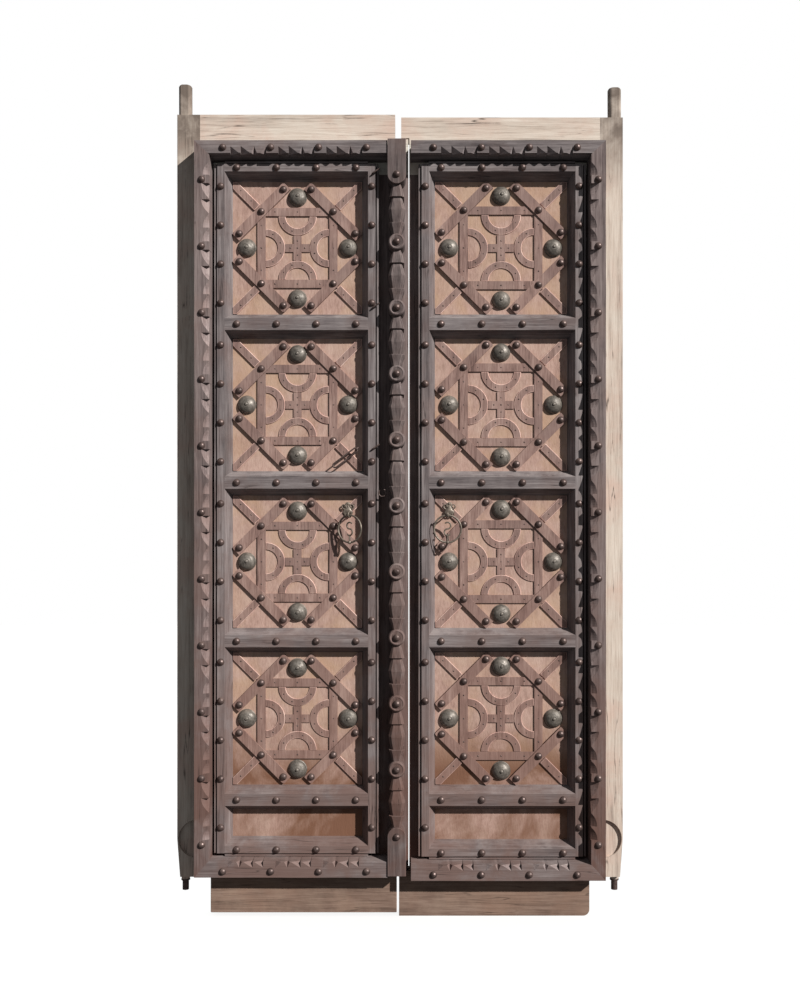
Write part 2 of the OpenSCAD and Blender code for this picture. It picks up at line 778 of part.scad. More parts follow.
// Diagonal strap across one corner of the square, kept clear of the panel's edges
module diamond_strap(s) {
    end_x = (tip_x[s] - stud_in - reach[s] / 2) * sqrt(2) + strap_past;
    end_z = (tip_z[s] - stud_in - reach[s] / 2) * sqrt(2) + strap_past;
    intersection() {
        translate([reach[s] / 2, 0, reach[s] / 2]) rotate([0, 45, 0])
            slab(-end_z, end_x, -diamond_w / 2, diamond_w / 2, -panel_set, diamond_face);
        slab(lattice_gap, tip_x[s] - lattice_gap, lattice_gap, tip_z[s] - lattice_gap,
            -panel_set, diamond_face);
    }
}

// Repeats its children in the four quarters of a panel
module in_quarters() {
    for (a = [0, 1]) {
        for (b = [0, 1]) {
            mirror([a, 0, 0]) mirror([0, 0, b]) children();
        }
    }
}

module diamond_straps(s) {
    color(wood) on_side(s) difference() {
        in_cells(s) difference() {
            in_quarters() diamond_strap(s);
            square_bars(s);
        }
        for (k = [0 : 3]) {
            shank_holes(in_cell(cell_points[s], s, k), diamond_face, diamond_t + 1);
        }
    }
}

module corner_straps(s) {
    start = max(reach[s] / sqrt(2) + diamond_w / 2, square_half[s] * sqrt(2)) + lattice_gap;
    color(wood) on_side(s) in_cells(s) in_quarters() intersection() {
        rotate([0, -45, 0])
            slab(start, 2 * reach[s] + diamond_w, -corner_w / 2, corner_w / 2,
                -panel_set, corner_face);
        slab(0, half_w[s] - lattice_gap, 0, half_h - lattice_gap, -panel_set, corner_face);
    }
}

// Half ring that stands on the inside of each strap of the square
module half_rings(s) {
    far = inner_half[s] - lattice_gap;
    color(wood) on_side(s) in_cells(s) for (turn = [0 : 90 : 270]) {
        rotate([0, turn, 0]) intersection() {
            translate([0, 0, far]) along_y(-panel_set, arc_face) difference() {
                circle(r = arc_r[s]);
                circle(r = arc_r[s] - arc_w);
            }
            slab(-arc_r[s] - 1, arc_r[s] + 1, 0, far, -panel_set - 1, arc_face + 1);
        }
    }
}

// Two straps halved into each other between the half rings
module crosses(s) {
    end = inner_half[s] - arc_r[s] - 2 * lattice_gap;
    w = cross_w / 2;
    half_t = arc_t / 2 - panel_set;
    play = 0.05;
    color(wood) on_side(s) in_cells(s) {
        difference() {
            slab(-w, w, -end, end, -panel_set, arc_face);
            slab(-w - 1, w + 1, -w - play, w + play, half_t, arc_face + 1);
        }
        difference() {
            slab(-end, end, -w, w, -panel_set, arc_face);
            slab(-w - play, w + play, -w - 1, w + 1, -panel_set - 1, half_t);
        }
    }
}

module bosses(s) {
    color(patina) on_side(s) in_cells(s) for (p = boss_points[s]) {
        translate([p[0], 0, p[1]]) boss();
    }
}

module moulding_studs(s) {
    color(iron) on_side(s) {
        studs(side_points[s], moulding_rise, moulding_rise + shank_bite - 1);
        studs(top_points, moulding_rise, moulding_rise + shank_bite - 1);
        studs(bottom_points[s], moulding_rise, moulding_rise + shank_bite - 1);
    }
}

module batten_studs(s) {
    color(iron) on_side(s) {
        studs(stile_points[s], batten_rise, batten_rise + shank_bite - 1);
        studs(end_points[s], batten_rise, batten_rise + shank_bite - 1);
    }
}

module rail_studs(s) {
    color(iron) on_side(s)
        studs(rail_points[s], batten_rise, batten_rise + shank_bite - 1);
}

module panel_studs(s) {
    color(iron) on_side(s) for (k = [0 : 3]) {
        studs(in_cell(cell_points[s], s, k), diamond_face, diamond_t + shank_bite - 1);
    }
}

// One carved stretch of the cover strip: two bells above two cups, drawn from z = 0 up
module carved_outline() {
    steps = [[0, 10.5], [0.24, 21.5], [0.24, 11], [0.48, 21], [0.48, 22], [0.76, 9.5],
             [0.76, 19.5], [1, 9.5]];
    polygon(concat(
        [for (p = steps) [p[1], p[0] * carved_gap]],
        [for (k = [len(steps) - 1 : -1 : 0]) [-steps[k][1], steps[k][0] * carved_gap]]));
}

// Carved strip on the left leaf's edge that covers the seam
module cover_strip() {
    tab = cover_w / 2;
    base_w = 9;
    carved_rise = cover_rise - 3;
    chamfer = 10;
    color(wood) on_side(left) difference() {
        union() {
            slab(cover_left - tab, cover_left + tab, cover_low, carved_low - tab, 0, cover_rise);
            slab(cover_left - tab, cover_left + tab, carved_high + tab, cover_high,
                0, cover_rise);
            slab(cover_left - base_w, cover_left + base_w, carved_low - 2, carved_high + 2,
                0, carved_rise - 8);
            for (z = [carved_low - tab, carved_high + tab]) {
                along_y(0, cover_rise) translate([cover_left, z]) circle(r = tab);
            }
            for (k = [0 : medallions - 1]) {
                along_y(0, cover_rise) translate([cover_left, medallion_z(k)])
                    circle(r = medallion_r);
            }
            intersection() {
                for (k = [0 : medallions]) {
                    along_y(0, carved_rise)
                        translate([cover_left, carved_low + k * (carved_gap + 2 * medallion_r)])
                            carved_outline();
                }
                along_z(carved_low - 1, carved_high + 1) polygon([
                    [cover_left - tab, 0], [cover_left - tab, chamfer - carved_rise],
                    [cover_left - tab + chamfer, -carved_rise],
                    [cover_left + tab - chamfer, -carved_rise],
                    [cover_left + tab, chamfer - carved_rise], [cover_left + tab, 0]]);
            }
        }
        shank_holes(cover_points, cover_rise, cover_rise + 1);
    }
}

module cover_strip_studs() {
    color(iron) on_side(left)
        studs(cover_points, cover_rise, cover_rise + shank_bite - 1);
}

// Scrolled plate nailed over the corner strap, with the eye's stem passing through it
module ring_plate(s) {
    lobe = 6.5;
    color(patina) on_side(s) difference() {
        union() {
            along_y(corner_face, corner_face + plate_t) translate([plate_x[s], plate_z]) {
                polygon([[-12, -14], [0, -14], [11, -2], [16, 10], [-17, 10], [-17, -2]]);
            }
            for (p = [[-15, 8], [-5, 13], [6, 13], [15, 8], [-14, -8], [-6, -13]]) {
                along_y(corner_face, corner_face + plate_t)
                    translate([plate_x[s] + p[0], plate_z + p[1]]) circle(r = lobe);
            }
        }
        translate([eye_x[s], 1 - corner_face, eye_z]) rotate([90, 0, 0])
            cylinder(h = plate_t + 2, r = eye_wire_r + shank_play);
    }
}

// Eye that the ring hangs in: a stem from the plate and a small upright loop
module ring_eye(s) {
    color(patina) on_side(s) translate([eye_x[s], -ring_rise, eye_z]) {
        rotate([0, 0, ring_turn[s]]) rotate([0, 90, 0])
            rotate_extrude() translate([eye_r, 0]) circle(r = eye_wire_r, $fn = 24);
        difference() {
            rotate([-90, 0, 0]) cylinder(h = ring_rise - corner_face, r = eye_wire_r);
            sphere(r = eye_r);
        }
    }
}

// Ring with a bead at its foot and an S-shaped scroll that stands up from the bead
module ring(s) {
    scroll_wire = wire_r - 0.5;
    color(patina) on_side(s) translate([eye_x[s], -ring_rise, ring_top - ring_r])
        rotate([0, 0, ring_turn[s]]) {
            wire_arc(ring_r, wire_r, 0, 360);
            translate([0, 0, -ring_r]) {
                sphere(r = ring_bead_r);
                cylinder(h = ring_r - 2 * scroll_r, r = scroll_wire);
            }
            translate([0, 0, scroll_r]) wire_arc(scroll_r, scroll_wire, 270, 230);
            translate([0, 0, -scroll_r]) wire_arc(scroll_r, scroll_wire, 90, 230);
        }
}

// Three iron staples in the meeting batten, each bent over towards the cover strip
module latch_staples() {
    color(iron) on_side(left) for (p = staple_points) {
        translate([p[0], -batten_rise, p[1]]) rotate([0, staple_slant, 0]) {
            rotate([-90, 0, 0]) cylinder(h = shank_bite - 1, r = iron_r);
            translate([-staple_bend, 0, 0]) rotate([0, 0, -90]) rotate_extrude(angle = 90)
                translate([staple_bend, 0]) circle(r = iron_r, $fn = 24);
            translate([-staple_bend, -staple_bend, 0]) rotate([0, -90, 0])
                cylinder(h = staple_arm, r = iron_r);
        }
    }
}

// Open hook beside the meeting batten, on a stem that enters the stile
module open_hook() {
    color(iron) on_side(left) translate([hook_x, -hook_rise, hook_z]) {
        wire_arc(hook_r, hook_wire_r, 115, 290);
        translate([0, 0, -hook_r]) rotate([-90, 0, 0])
            cylinder(h = hook_rise + shank_bite - 1, r = hook_wire_r - 0.2);
    }
}

// Eye that the long link turns in, on a stem that enters the panel
module link_staple() {
    color(iron) on_side(left) translate([link_x, -link_rise, link_z]) {
        rotate([0, link_slant, 0]) rotate_extrude()
            translate([link_eye_r, 0]) circle(r = eye_wire_r, $fn = 24);
        difference() {
            rotate([-90, 0, 0])
                cylinder(h = link_rise + panel_set + shank_bite - 1, r = eye_wire_r);
            sphere(r = link_eye_r);
        }
    }
}

// Long narrow link, drawn from the middle of the bend that its eye holds
module long_link() {
    color(iron) on_side(left) translate([link_x, -link_rise, link_z])
        rotate([0, link_slant, 0]) translate([link_r, 0, 0]) {
            wire_arc(link_r, iron_r, 90, 180);
            translate([link_l, 0, 0]) wire_arc(link_r, iron_r, -90, 180);
            for (a = [-1, 1]) {
                translate([0, 0, a * link_r]) rotate([0, 90, 0])
                    cylinder(h = link_l, r = iron_r);
            }
        }
}

lower_pivot_pin(left);  // lower_pivot_pin_left
lower_pivot_pin(right);  // lower_pivot_pin_right
pivot_post(left);  // left_pivot_post
hanging_stile(left);  // left_hanging_stile
meeting_stile(left);  // left_meeting_stile
top_board(left);  // left_top_board
bottom_board(left);  // left_bottom_board
foot_tab(left);  // left_foot_tab
rails(left);  // left_rails
panels(left);  // left_panels
top_moulding(left);  // left_top_moulding
side_moulding(left);  // left_side_moulding
bottom_moulding(left);  // left_bottom_moulding
stile_battens(left);  // left_stile_battens
end_battens(left);  // left_end_battens
square_frames(left);  // left_square_frames
diamond_straps(left);  // left_diamond_straps
corner_straps(left);  // left_corner_straps
half_rings(left);  // left_half_rings
crosses(left);  // left_crosses
bosses(left);  // left_bosses
moulding_studs(left);  // left_moulding_studs
batten_studs(left);  // left_batten_studs
rail_studs(left);  // left_rail_studs
panel_studs(left);  // left_panel_studs
ring_plate(left);  // left_ring_plate
ring_eye(left);  // left_ring_eye
ring(left);  // left_ring
cover_strip();
cover_strip_studs();
latch_staples();
open_hook();
link_staple();
long_link();
pivot_post(right);  // right_pivot_post
hanging_stile(right);  // right_hanging_stile
meeting_stile(right);  // right_meeting_stile
top_board(right);  // right_top_board
bottom_board(right);  // right_bottom_board
foot_tab(right);  // right_foot_tab
rails(right);  // right_rails
panels(right);  // right_panels
top_moulding(right);  // right_top_moulding
side_moulding(right);  // right_side_moulding
bottom_moulding(right);  // right_bottom_moulding
stile_battens(right);  // right_stile_battens
end_battens(right);  // right_end_battens
square_frames(right);  // right_square_frames
diamond_straps(right);  // right_diamond_straps
corner_straps(right);  // right_corner_straps
half_rings(right);  // right_half_rings
crosses(right);  // right_crosses
bosses(right);  // right_bosses
moulding_studs(right);  // right_moulding_studs
batten_studs(right);  // right_batten_studs
rail_studs(right);  // right_rail_studs
panel_studs(right);  // right_panel_studs
ring_plate(right);  // right_ring_plate
ring_eye(right);  // right_ring_eye
ring(right);  // right_ring
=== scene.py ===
"""Finish of a pair of carved wooden pivot doors: worn wood, chip carving, iron studs, ring pulls."""

import json
import math

import bmesh
import bpy
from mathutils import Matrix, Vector, noise

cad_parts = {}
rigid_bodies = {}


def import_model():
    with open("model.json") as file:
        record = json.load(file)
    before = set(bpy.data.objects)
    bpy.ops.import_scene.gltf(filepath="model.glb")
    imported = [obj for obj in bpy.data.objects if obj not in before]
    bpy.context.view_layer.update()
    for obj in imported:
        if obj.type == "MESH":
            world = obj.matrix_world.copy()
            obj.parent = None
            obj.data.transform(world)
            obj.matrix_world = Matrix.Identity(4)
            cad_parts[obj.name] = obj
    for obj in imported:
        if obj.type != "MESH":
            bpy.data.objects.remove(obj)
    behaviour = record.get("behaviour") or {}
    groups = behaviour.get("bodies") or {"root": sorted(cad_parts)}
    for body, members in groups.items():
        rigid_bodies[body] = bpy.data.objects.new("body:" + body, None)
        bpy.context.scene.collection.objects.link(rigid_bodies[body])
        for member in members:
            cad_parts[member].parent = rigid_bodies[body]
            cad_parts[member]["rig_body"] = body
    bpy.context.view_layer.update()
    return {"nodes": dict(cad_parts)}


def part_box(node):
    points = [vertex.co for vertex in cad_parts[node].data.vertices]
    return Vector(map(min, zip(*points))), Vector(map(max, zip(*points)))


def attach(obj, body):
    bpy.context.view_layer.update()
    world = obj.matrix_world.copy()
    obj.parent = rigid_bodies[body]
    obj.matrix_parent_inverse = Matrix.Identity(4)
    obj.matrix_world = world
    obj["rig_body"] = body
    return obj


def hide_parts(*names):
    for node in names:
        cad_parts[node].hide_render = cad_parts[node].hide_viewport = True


noise.seed_set(7)  # the same hand wobble on every run
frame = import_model()

MM = 0.001
LEAVES = ("left", "right")
FRONT_AXIS = Vector((0, -1, 0))
BOARD_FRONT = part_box("left_meeting_stile")[0].y
SAME_POINT = 0.02 * MM

# How high a moulding's inner edge stands, and how far the side moulding's chips are cut in
MOULDING_LIP = 14 * MM
SIDE_CUT = 18.5 * MM
SIDE_CHIP_DEPTH = 11 * MM
ROW_CHIP_DEPTH = 13 * MM
ROW_CUTS = {"top": 17 * MM, "bottom": 14 * MM}
# Plain ends of the side moulding, and of a row
PLAIN_SIDE_END = 50 * MM
PLAIN_ROW_END = 30 * MM

# Where the sun shines to, and where the eye stands
SUN_HEADING = (-1.05, 1.0, -0.88)
EYE_DISTANCE = 2.5
EYE_HEIGHT = 0.927


# ---------------------------------------------------------------- places, read from the frame

def welded(node):
    """A copy of a CAD node's mesh with its doubled corners merged."""
    mesh = bmesh.new()
    mesh.from_mesh(frame["nodes"][node].data)
    bmesh.ops.remove_doubles(mesh, verts=mesh.verts, dist=SAME_POINT)
    return mesh


def solids(node):
    """The lowest and highest corner of each separate solid in a CAD node."""
    mesh = welded(node)
    seen = set()
    found = []
    for start in mesh.verts:
        if start in seen:
            continue
        seen.add(start)
        todo = [start]
        group = []
        while todo:
            vert = todo.pop()
            group.append(vert.co.copy())
            for edge in vert.link_edges:
                other = edge.other_vert(vert)
                if other not in seen:
                    seen.add(other)
                    todo.append(other)
        low = Vector(min(p[k] for p in group) for k in range(3))
        high = Vector(max(p[k] for p in group) for k in range(3))
        found.append((low, high))
    mesh.free()
    return sorted(found, key=lambda box: (round(box[0].z, 4), round(box[0].x, 4)))


def middle(box):
    return (box[0] + box[1]) / 2


def wobble(point, amount=0.0006, size=0.09):
    """Moves a point a little, as hand work does, the same way for neighbouring pieces."""
    return point + amount * noise.noise_vector(point / size)


# ---------------------------------------------------------------- mesh helpers

def piece(name, mesh, finishes, body, slot, *nodes):
    """Makes a finished piece from a bmesh, in place, and hides the CAD nodes that it stands in for."""
    bmesh.ops.recalc_face_normals(mesh, faces=mesh.faces)
    data = bpy.data.meshes.new(name)
    mesh.to_mesh(data)
    mesh.free()
    for finish in finishes:
        data.materials.append(finish)
    made = bpy.data.objects.new(name, data)
    bpy.context.scene.collection.objects.link(made)
    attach(made, body)
    if nodes:
        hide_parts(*nodes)
    return made


def bevel(made, width, segments=2, angle=32):
    """Rounds a piece's edges, as wear does, and gives the rounded faces the piece's last, lighter
    material: wear and painted highlight.
    """
    edge = made.modifiers.new("worn edges", "BEVEL")
    edge.width = width
    edge.segments = segments
    edge.limit_method = "ANGLE"
    edge.angle_limit = math.radians(angle)
    edge.harden_normals = True
    # the rounded faces take the lighter copy, a painted highlight along the edges as well as wear
    edge.material = len(made.data.materials) - 1
    return made


def loft(mesh, rings):
    """Joins closed rings of points into one skin with a cap at each end."""
    rows = [[mesh.verts.new(p) for p in ring] for ring in rings]
    count = len(rows[0])
    for row, after in zip(rows, rows[1:]):
        for k in range(count):
            mesh.faces.new((row[k], row[(k + 1) % count], after[(k + 1) % count], after[k]))
    mesh.faces.new(rows[0][::-1])
    mesh.faces.new(rows[-1])


def clean(mesh):
    bmesh.ops.remove_doubles(mesh, verts=mesh.verts, dist=SAME_POINT)
    bmesh.ops.dissolve_degenerate(mesh, dist=0.00001, edges=mesh.edges)


def lathe(mesh, centre, outline, turns=32):
    """Turns an outline of (radius, height in front of the boards) round an axis that faces forwards."""
    rings = []
    for radius, height in outline:
        rings.append([
            centre + Vector((radius * math.cos(a), -height, radius * math.sin(a)))
            for a in (2 * math.pi * k / turns for k in range(turns))])
    loft(mesh, rings)


def wire(mesh, path, radius, sides=10):
    """A round wire along a path, with its radius given at each point."""
    rings = []
    for k, point in enumerate(path):
        ahead = (path[min(k + 1, len(path) - 1)] - path[max(k - 1, 0)]).normalized()
        side = ahead.cross(FRONT_AXIS)
        side = side.normalized() if side.length > 0.05 else ahead.cross(Vector((0, 0, 1))).normalized()
        up = side.cross(ahead)
        rings.append([
            point + radius[k] * (side * math.cos(a) + up * math.sin(a))
            for a in (2 * math.pi * j / sides for j in range(sides))])
    loft(mesh, rings)


# ---------------------------------------------------------------- shader groups

def add(tree, kind, values=(), **settings):
    """Adds a node, sets its properties and then its inputs."""
    made = tree.nodes.new(kind)
    for name, value in settings.items():
        setattr(made, name, value)
    for name, value in dict(values).items():
        made.inputs[name].default_value = value
    return made


def new_group(name, inputs, outputs):
    tree = bpy.data.node_groups.new(name, "ShaderNodeTree")
    for label, kind, value in inputs:
        socket = tree.interface.new_socket(label, in_out="INPUT", socket_type=kind)
        if value is not None:
            socket.default_value = value
    for label, kind in outputs:
        tree.interface.new_socket(label, in_out="OUTPUT", socket_type=kind)
    return tree, tree.nodes.new("NodeGroupInput"), tree.nodes.new("NodeGroupOutput")


def grain_group():
    """Grain of dry wood that runs along the vector's Z: fibres, bands, patches and cracks."""
    tree, given, out = new_group(
        "wood grain",
        [("Vector", "NodeSocketVector", None), ("Place", "NodeSocketVector", None),
         ("Fibre Scale", "NodeSocketFloat", 260), ("Band Scale", "NodeSocketFloat", 38),
         ("Patch Scale", "NodeSocketFloat", 7), ("Cracks", "NodeSocketFloat", 0.5)],
        [("Tone", "NodeSocketFloat"), ("Patch", "NodeSocketFloat"),
         ("Crack", "NodeSocketFloat"), ("Height", "NodeSocketFloat")])
    link = tree.links.new
    fibre = add(tree, "ShaderNodeTexNoise", {"Detail": 5, "Roughness": 0.65})
    link(given.outputs["Vector"], fibre.inputs["Vector"])
    link(given.outputs["Fibre Scale"], fibre.inputs["Scale"])
    band = add(tree, "ShaderNodeTexNoise", {"Detail": 3, "Roughness": 0.5, "Distortion": 0.7})
    link(given.outputs["Vector"], band.inputs["Vector"])
    link(given.outputs["Band Scale"], band.inputs["Scale"])
    patch = add(tree, "ShaderNodeTexNoise", {"Detail": 6, "Roughness": 0.6, "Distortion": 0.4})
    link(given.outputs["Place"], patch.inputs["Vector"])
    link(given.outputs["Patch Scale"], patch.inputs["Scale"])

    split = add(tree, "ShaderNodeTexNoise", {"Scale": 55, "Detail": 2, "Distortion": 0.3})
    link(given.outputs["Vector"], split.inputs["Vector"])
    off = add(tree, "ShaderNodeMath", {1: 0.5}, operation="SUBTRACT")
    link(split.outputs["Fac"], off.inputs[0])
    size = add(tree, "ShaderNodeMath", operation="ABSOLUTE")
    link(off.outputs[0], size.inputs[0])
    line = add(tree, "ShaderNodeMapRange",
               {"From Min": 0.0, "From Max": 0.014, "To Min": 1.0, "To Max": 0.0})
    link(size.outputs[0], line.inputs["Value"])
    where = add(tree, "ShaderNodeMapRange", {"From Min": 0.48, "From Max": 0.6})
    link(patch.outputs["Fac"], where.inputs["Value"])
    some = add(tree, "ShaderNodeMath", operation="MULTIPLY")
    link(line.outputs[0], some.inputs[0])
    link(where.outputs[0], some.inputs[1])
    crack = add(tree, "ShaderNodeMath", operation="MULTIPLY")
    link(some.outputs[0], crack.inputs[0])
    link(given.outputs["Cracks"], crack.inputs[1])

    tone = add(tree, "ShaderNodeMix", {"Factor": 0.45}, data_type="FLOAT")
    link(fibre.outputs["Fac"], tone.inputs["A"])
    link(band.outputs["Fac"], tone.inputs["B"])
    clear = add(tree, "ShaderNodeMapRange", {"From Min": 0.32, "From Max": 0.68})
    link(tone.outputs["Result"], clear.inputs["Value"])
    height = add(tree, "ShaderNodeMath", operation="SUBTRACT")
    link(clear.outputs[0], height.inputs[0])
    link(crack.outputs[0], height.inputs[1])
    link(clear.outputs[0], out.inputs["Tone"])
    link(patch.outputs["Fac"], out.inputs["Patch"])
    link(crack.outputs[0], out.inputs["Crack"])
    link(height.outputs[0], out.inputs["Height"])
    return tree


def dust_group():
    """Dust that settles on upward faces and in blotches."""
    tree, given, out = new_group(
        "settled dust",
        [("Place", "NodeSocketVector", None), ("Amount", "NodeSocketFloat", 0.4),
         ("Blotch Scale", "NodeSocketFloat", 18)],
        [("Mask", "NodeSocketFloat")])
    link = tree.links.new
    facing = add(tree, "ShaderNodeNewGeometry")
    parts = add(tree, "ShaderNodeSeparateXYZ")
    link(facing.outputs["Normal"], parts.inputs[0])
    up = add(tree, "ShaderNodeMapRange",
             {"From Min": 0.1, "From Max": 0.9, "To Min": 0.25, "To Max": 1.0})
    link(parts.outputs["Z"], up.inputs["Value"])
    blotch = add(tree, "ShaderNodeTexNoise", {"Detail": 5, "Roughness": 0.7})
    link(given.outputs["Place"], blotch.inputs["Vector"])
    link(given.outputs["Blotch Scale"], blotch.inputs["Scale"])
    spread = add(tree, "ShaderNodeMapRange", {"From Min": 0.42, "From Max": 0.68})
    link(blotch.outputs["Fac"], spread.inputs["Value"])
    both = add(tree, "ShaderNodeMath", operation="MULTIPLY")
    link(up.outputs[0], both.inputs[0])
    link(spread.outputs[0], both.inputs[1])
    amount = add(tree, "ShaderNodeMath", operation="MULTIPLY", use_clamp=True)
    link(both.outputs[0], amount.inputs[0])
    link(given.outputs["Amount"], amount.inputs[1])
    link(amount.outputs[0], out.inputs["Mask"])
    return tree


GRAIN = grain_group()
DUST = dust_group()


def ramp(tree, source, stops):
    made = add(tree, "ShaderNodeValToRGB")
    elements = made.color_ramp.elements
    while len(elements) < len(stops):
        elements.new(0.5)
    for element, (place, colour) in zip(elements, stops):
        element.position = place
        element.color = (*colour, 1)
    tree.links.new(source, made.inputs["Fac"])
    return made.outputs["Color"]


def blend_colours(tree, factor, first, second):
    """Mixes two colours by a mask. second is a socket or a plain colour."""
    made = add(tree, "ShaderNodeMix", data_type="RGBA")
    tree.links.new(factor, made.inputs["Factor"])
    tree.links.new(first, made.inputs[6])
    if isinstance(second, tuple):
        made.inputs[7].default_value = (*second, 1)
    else:
        tree.links.new(second, made.inputs[7])
    return made.outputs[2]


def spread_between(tree, source, low, high, to_low=0.0, to_high=1.0):
    made = add(tree, "ShaderNodeMapRange",
               {"From Min": low, "From Max": high, "To Min": to_low, "To Max": to_high})
    tree.links.new(source, made.inputs["Value"])
    return made.outputs[0]


def new_material(name):
    made = bpy.data.materials.new(name)
    made.use_nodes = True
    shader = made.node_tree.nodes["Principled BSDF"]
    return made, made.node_tree, shader


def wood(name, direction, dark, mid, light, patch, dust, dust_amount, cracks=0.6, bump=0.35,
         stretch=0.045, stain=None):
    """Weathered wood whose grain runs along the given direction, x or z.

    stain is (colour, height where it is full, height where it ends, strength).
    """
    made, tree, shader = new_material(name)
    link = tree.links.new
    where = add(tree, "ShaderNodeTexCoord")
    along = (1, 1, stretch) if direction == "z" else (stretch, 1, 1)
    turn = add(tree, "ShaderNodeMapping", {"Scale": along})
    link(where.outputs["Object"], turn.inputs["Vector"])
    grain = add(tree, "ShaderNodeGroup", node_tree=GRAIN)
    grain.inputs["Cracks"].default_value = cracks
    link(turn.outputs[0], grain.inputs["Vector"])
    link(where.outputs["Object"], grain.inputs["Place"])
    colour = ramp(tree, grain.outputs["Tone"], [(0.0, dark), (0.45, mid), (1.0, light)])
    patches = spread_between(tree, grain.outputs["Patch"], 0.46, 0.64, 0, 0.6)
    colour = blend_colours(tree, patches, colour, patch)
    settled = add(tree, "ShaderNodeGroup", node_tree=DUST)
    settled.inputs["Amount"].default_value = dust_amount
    link(where.outputs["Object"], settled.inputs["Place"])
    colour = blend_colours(tree, settled.outputs["Mask"], colour, dust)
    if stain:
        stain_colour, full, end, strength = stain
        parts = add(tree, "ShaderNodeSeparateXYZ")
        link(where.outputs["Object"], parts.inputs[0])
        depth = spread_between(tree, parts.outputs["Z"], end, full, 0.0, strength)
        blotch = spread_between(tree, grain.outputs["Patch"], 0.30, 0.54)
        both = add(tree, "ShaderNodeMath", operation="MULTIPLY")
        link(depth, both.inputs[0])
        link(blotch, both.inputs[1])
        colour = blend_colours(tree, both.outputs[0], colour, stain_colour)
    colour = blend_colours(tree, grain.outputs["Crack"], colour, tuple(c * 0.18 for c in dark))
    link(colour, shader.inputs["Base Color"])
    link(spread_between(tree, grain.outputs["Tone"], 0, 1, 0.92, 0.72), shader.inputs["Roughness"])
    relief = add(tree, "ShaderNodeBump", {"Strength": bump, "Distance": 0.0015})
    link(grain.outputs["Height"], relief.inputs["Height"])
    link(relief.outputs[0], shader.inputs["Normal"])
    shader.inputs["Specular IOR Level"].default_value = 0.25
    return made


def forged_iron(name, dark, mid, light, dust, dust_amount, rough, metal):
    """Hammered iron with a dull skin, darker in its pits."""
    made, tree, shader = new_material(name)
    link = tree.links.new
    where = add(tree, "ShaderNodeTexCoord")
    skin = add(tree, "ShaderNodeTexNoise", {"Scale": 140, "Detail": 6, "Roughness": 0.65})
    link(where.outputs["Object"], skin.inputs["Vector"])
    colour = ramp(tree, skin.outputs["Fac"], [(0.3, dark), (0.5, mid), (0.72, light)])
    settled = add(tree, "ShaderNodeGroup", node_tree=DUST)
    settled.inputs["Amount"].default_value = dust_amount
    settled.inputs["Blotch Scale"].default_value = 60
    link(where.outputs["Object"], settled.inputs["Place"])
    colour = blend_colours(tree, settled.outputs["Mask"], colour, dust)
    link(colour, shader.inputs["Base Color"])
    roughness = spread_between(tree, skin.outputs["Fac"], 0.3, 0.7, rough + 0.12, rough - 0.08)
    link(roughness, shader.inputs["Roughness"])
    link(spread_between(tree, settled.outputs["Mask"], 0, 1, metal, 0.0), shader.inputs["Metallic"])
    dents = add(tree, "ShaderNodeTexNoise", {"Scale": 260, "Detail": 3})
    link(where.outputs["Object"], dents.inputs["Vector"])
    relief = add(tree, "ShaderNodeBump", {"Strength": 0.4, "Distance": 0.001})
    link(dents.outputs["Fac"], relief.inputs["Height"])
    link(relief.outputs[0], shader.inputs["Normal"])
    return made


def wood_pair(name, direction, wear_and_highlight_lift=1.45, **tones):
    """The same wood for a piece's faces and, lighter, for its rounded edges: worn wood and also a painted
    highlight where light catches the edges.
    """
    edge = dict(tones)
    for tone in ("dark", "mid", "light", "patch"):
        # lightens the edge copy, for wear and for painted highlight
        edge[tone] = tuple(min(0.9, c * wear_and_highlight_lift) for c in tones[tone])
    edge["cracks"] = 0.0
    return [wood(name, direction, **tones), wood(name + " worn edge", direction, **edge)]


def deeper(tones, share, **changes):
    """A palette with its wood colours darkened."""
    made = dict(tones)
    for tone in ("dark", "mid", "light", "patch"):
        made[tone] = tuple(c * share for c in tones[tone])
    made.update(changes)
    return made


MAUVE = dict(dark=(0.050, 0.038, 0.038), mid=(0.142, 0.108, 0.104), light=(0.260, 0.210, 0.200),
             patch=(0.178, 0.118, 0.104), dust=(0.36, 0.31, 0.29), dust_amount=0.5, cracks=0.7,
             stain=((0.110, 0.055, 0.042), 0.15, 1.15, 0.9))
GREY = dict(dark=(0.048, 0.040, 0.042), mid=(0.140, 0.118, 0.118), light=(0.280, 0.248, 0.245),
            patch=(0.140, 0.096, 0.088), dust=(0.38, 0.34, 0.33), dust_amount=0.5, cracks=0.7,
            stain=((0.150, 0.088, 0.072), 0.15, 1.15, 0.7))
PALE = dict(dark=(0.27, 0.215, 0.180), mid=(0.52, 0.435, 0.365), light=(0.68, 0.600, 0.520),
            patch=(0.54, 0.370, 0.300), dust=(0.62, 0.60, 0.54), dust_amount=0.8, cracks=0.9)
PANEL = dict(dark=(0.270, 0.168, 0.136), mid=(0.380, 0.245, 0.202), light=(0.480, 0.330, 0.276),
             patch=(0.420, 0.270, 0.170), dust=(0.54, 0.42, 0.33), dust_amount=1.0, cracks=0.1,
             bump=0.3, stretch=0.3, stain=((0.170, 0.082, 0.050), 0.36, 0.50, 1.0))
STRAP = dict(dark=(0.085, 0.050, 0.044), mid=(0.225, 0.138, 0.118), light=(0.370, 0.250, 0.215),
             patch=(0.185, 0.122, 0.110), dust=(0.44, 0.33, 0.275), dust_amount=0.6, cracks=0.2,
             bump=0.3, stretch=0.09, stain=((0.19, 0.096, 0.070), 0.15, 1.0, 0.6))
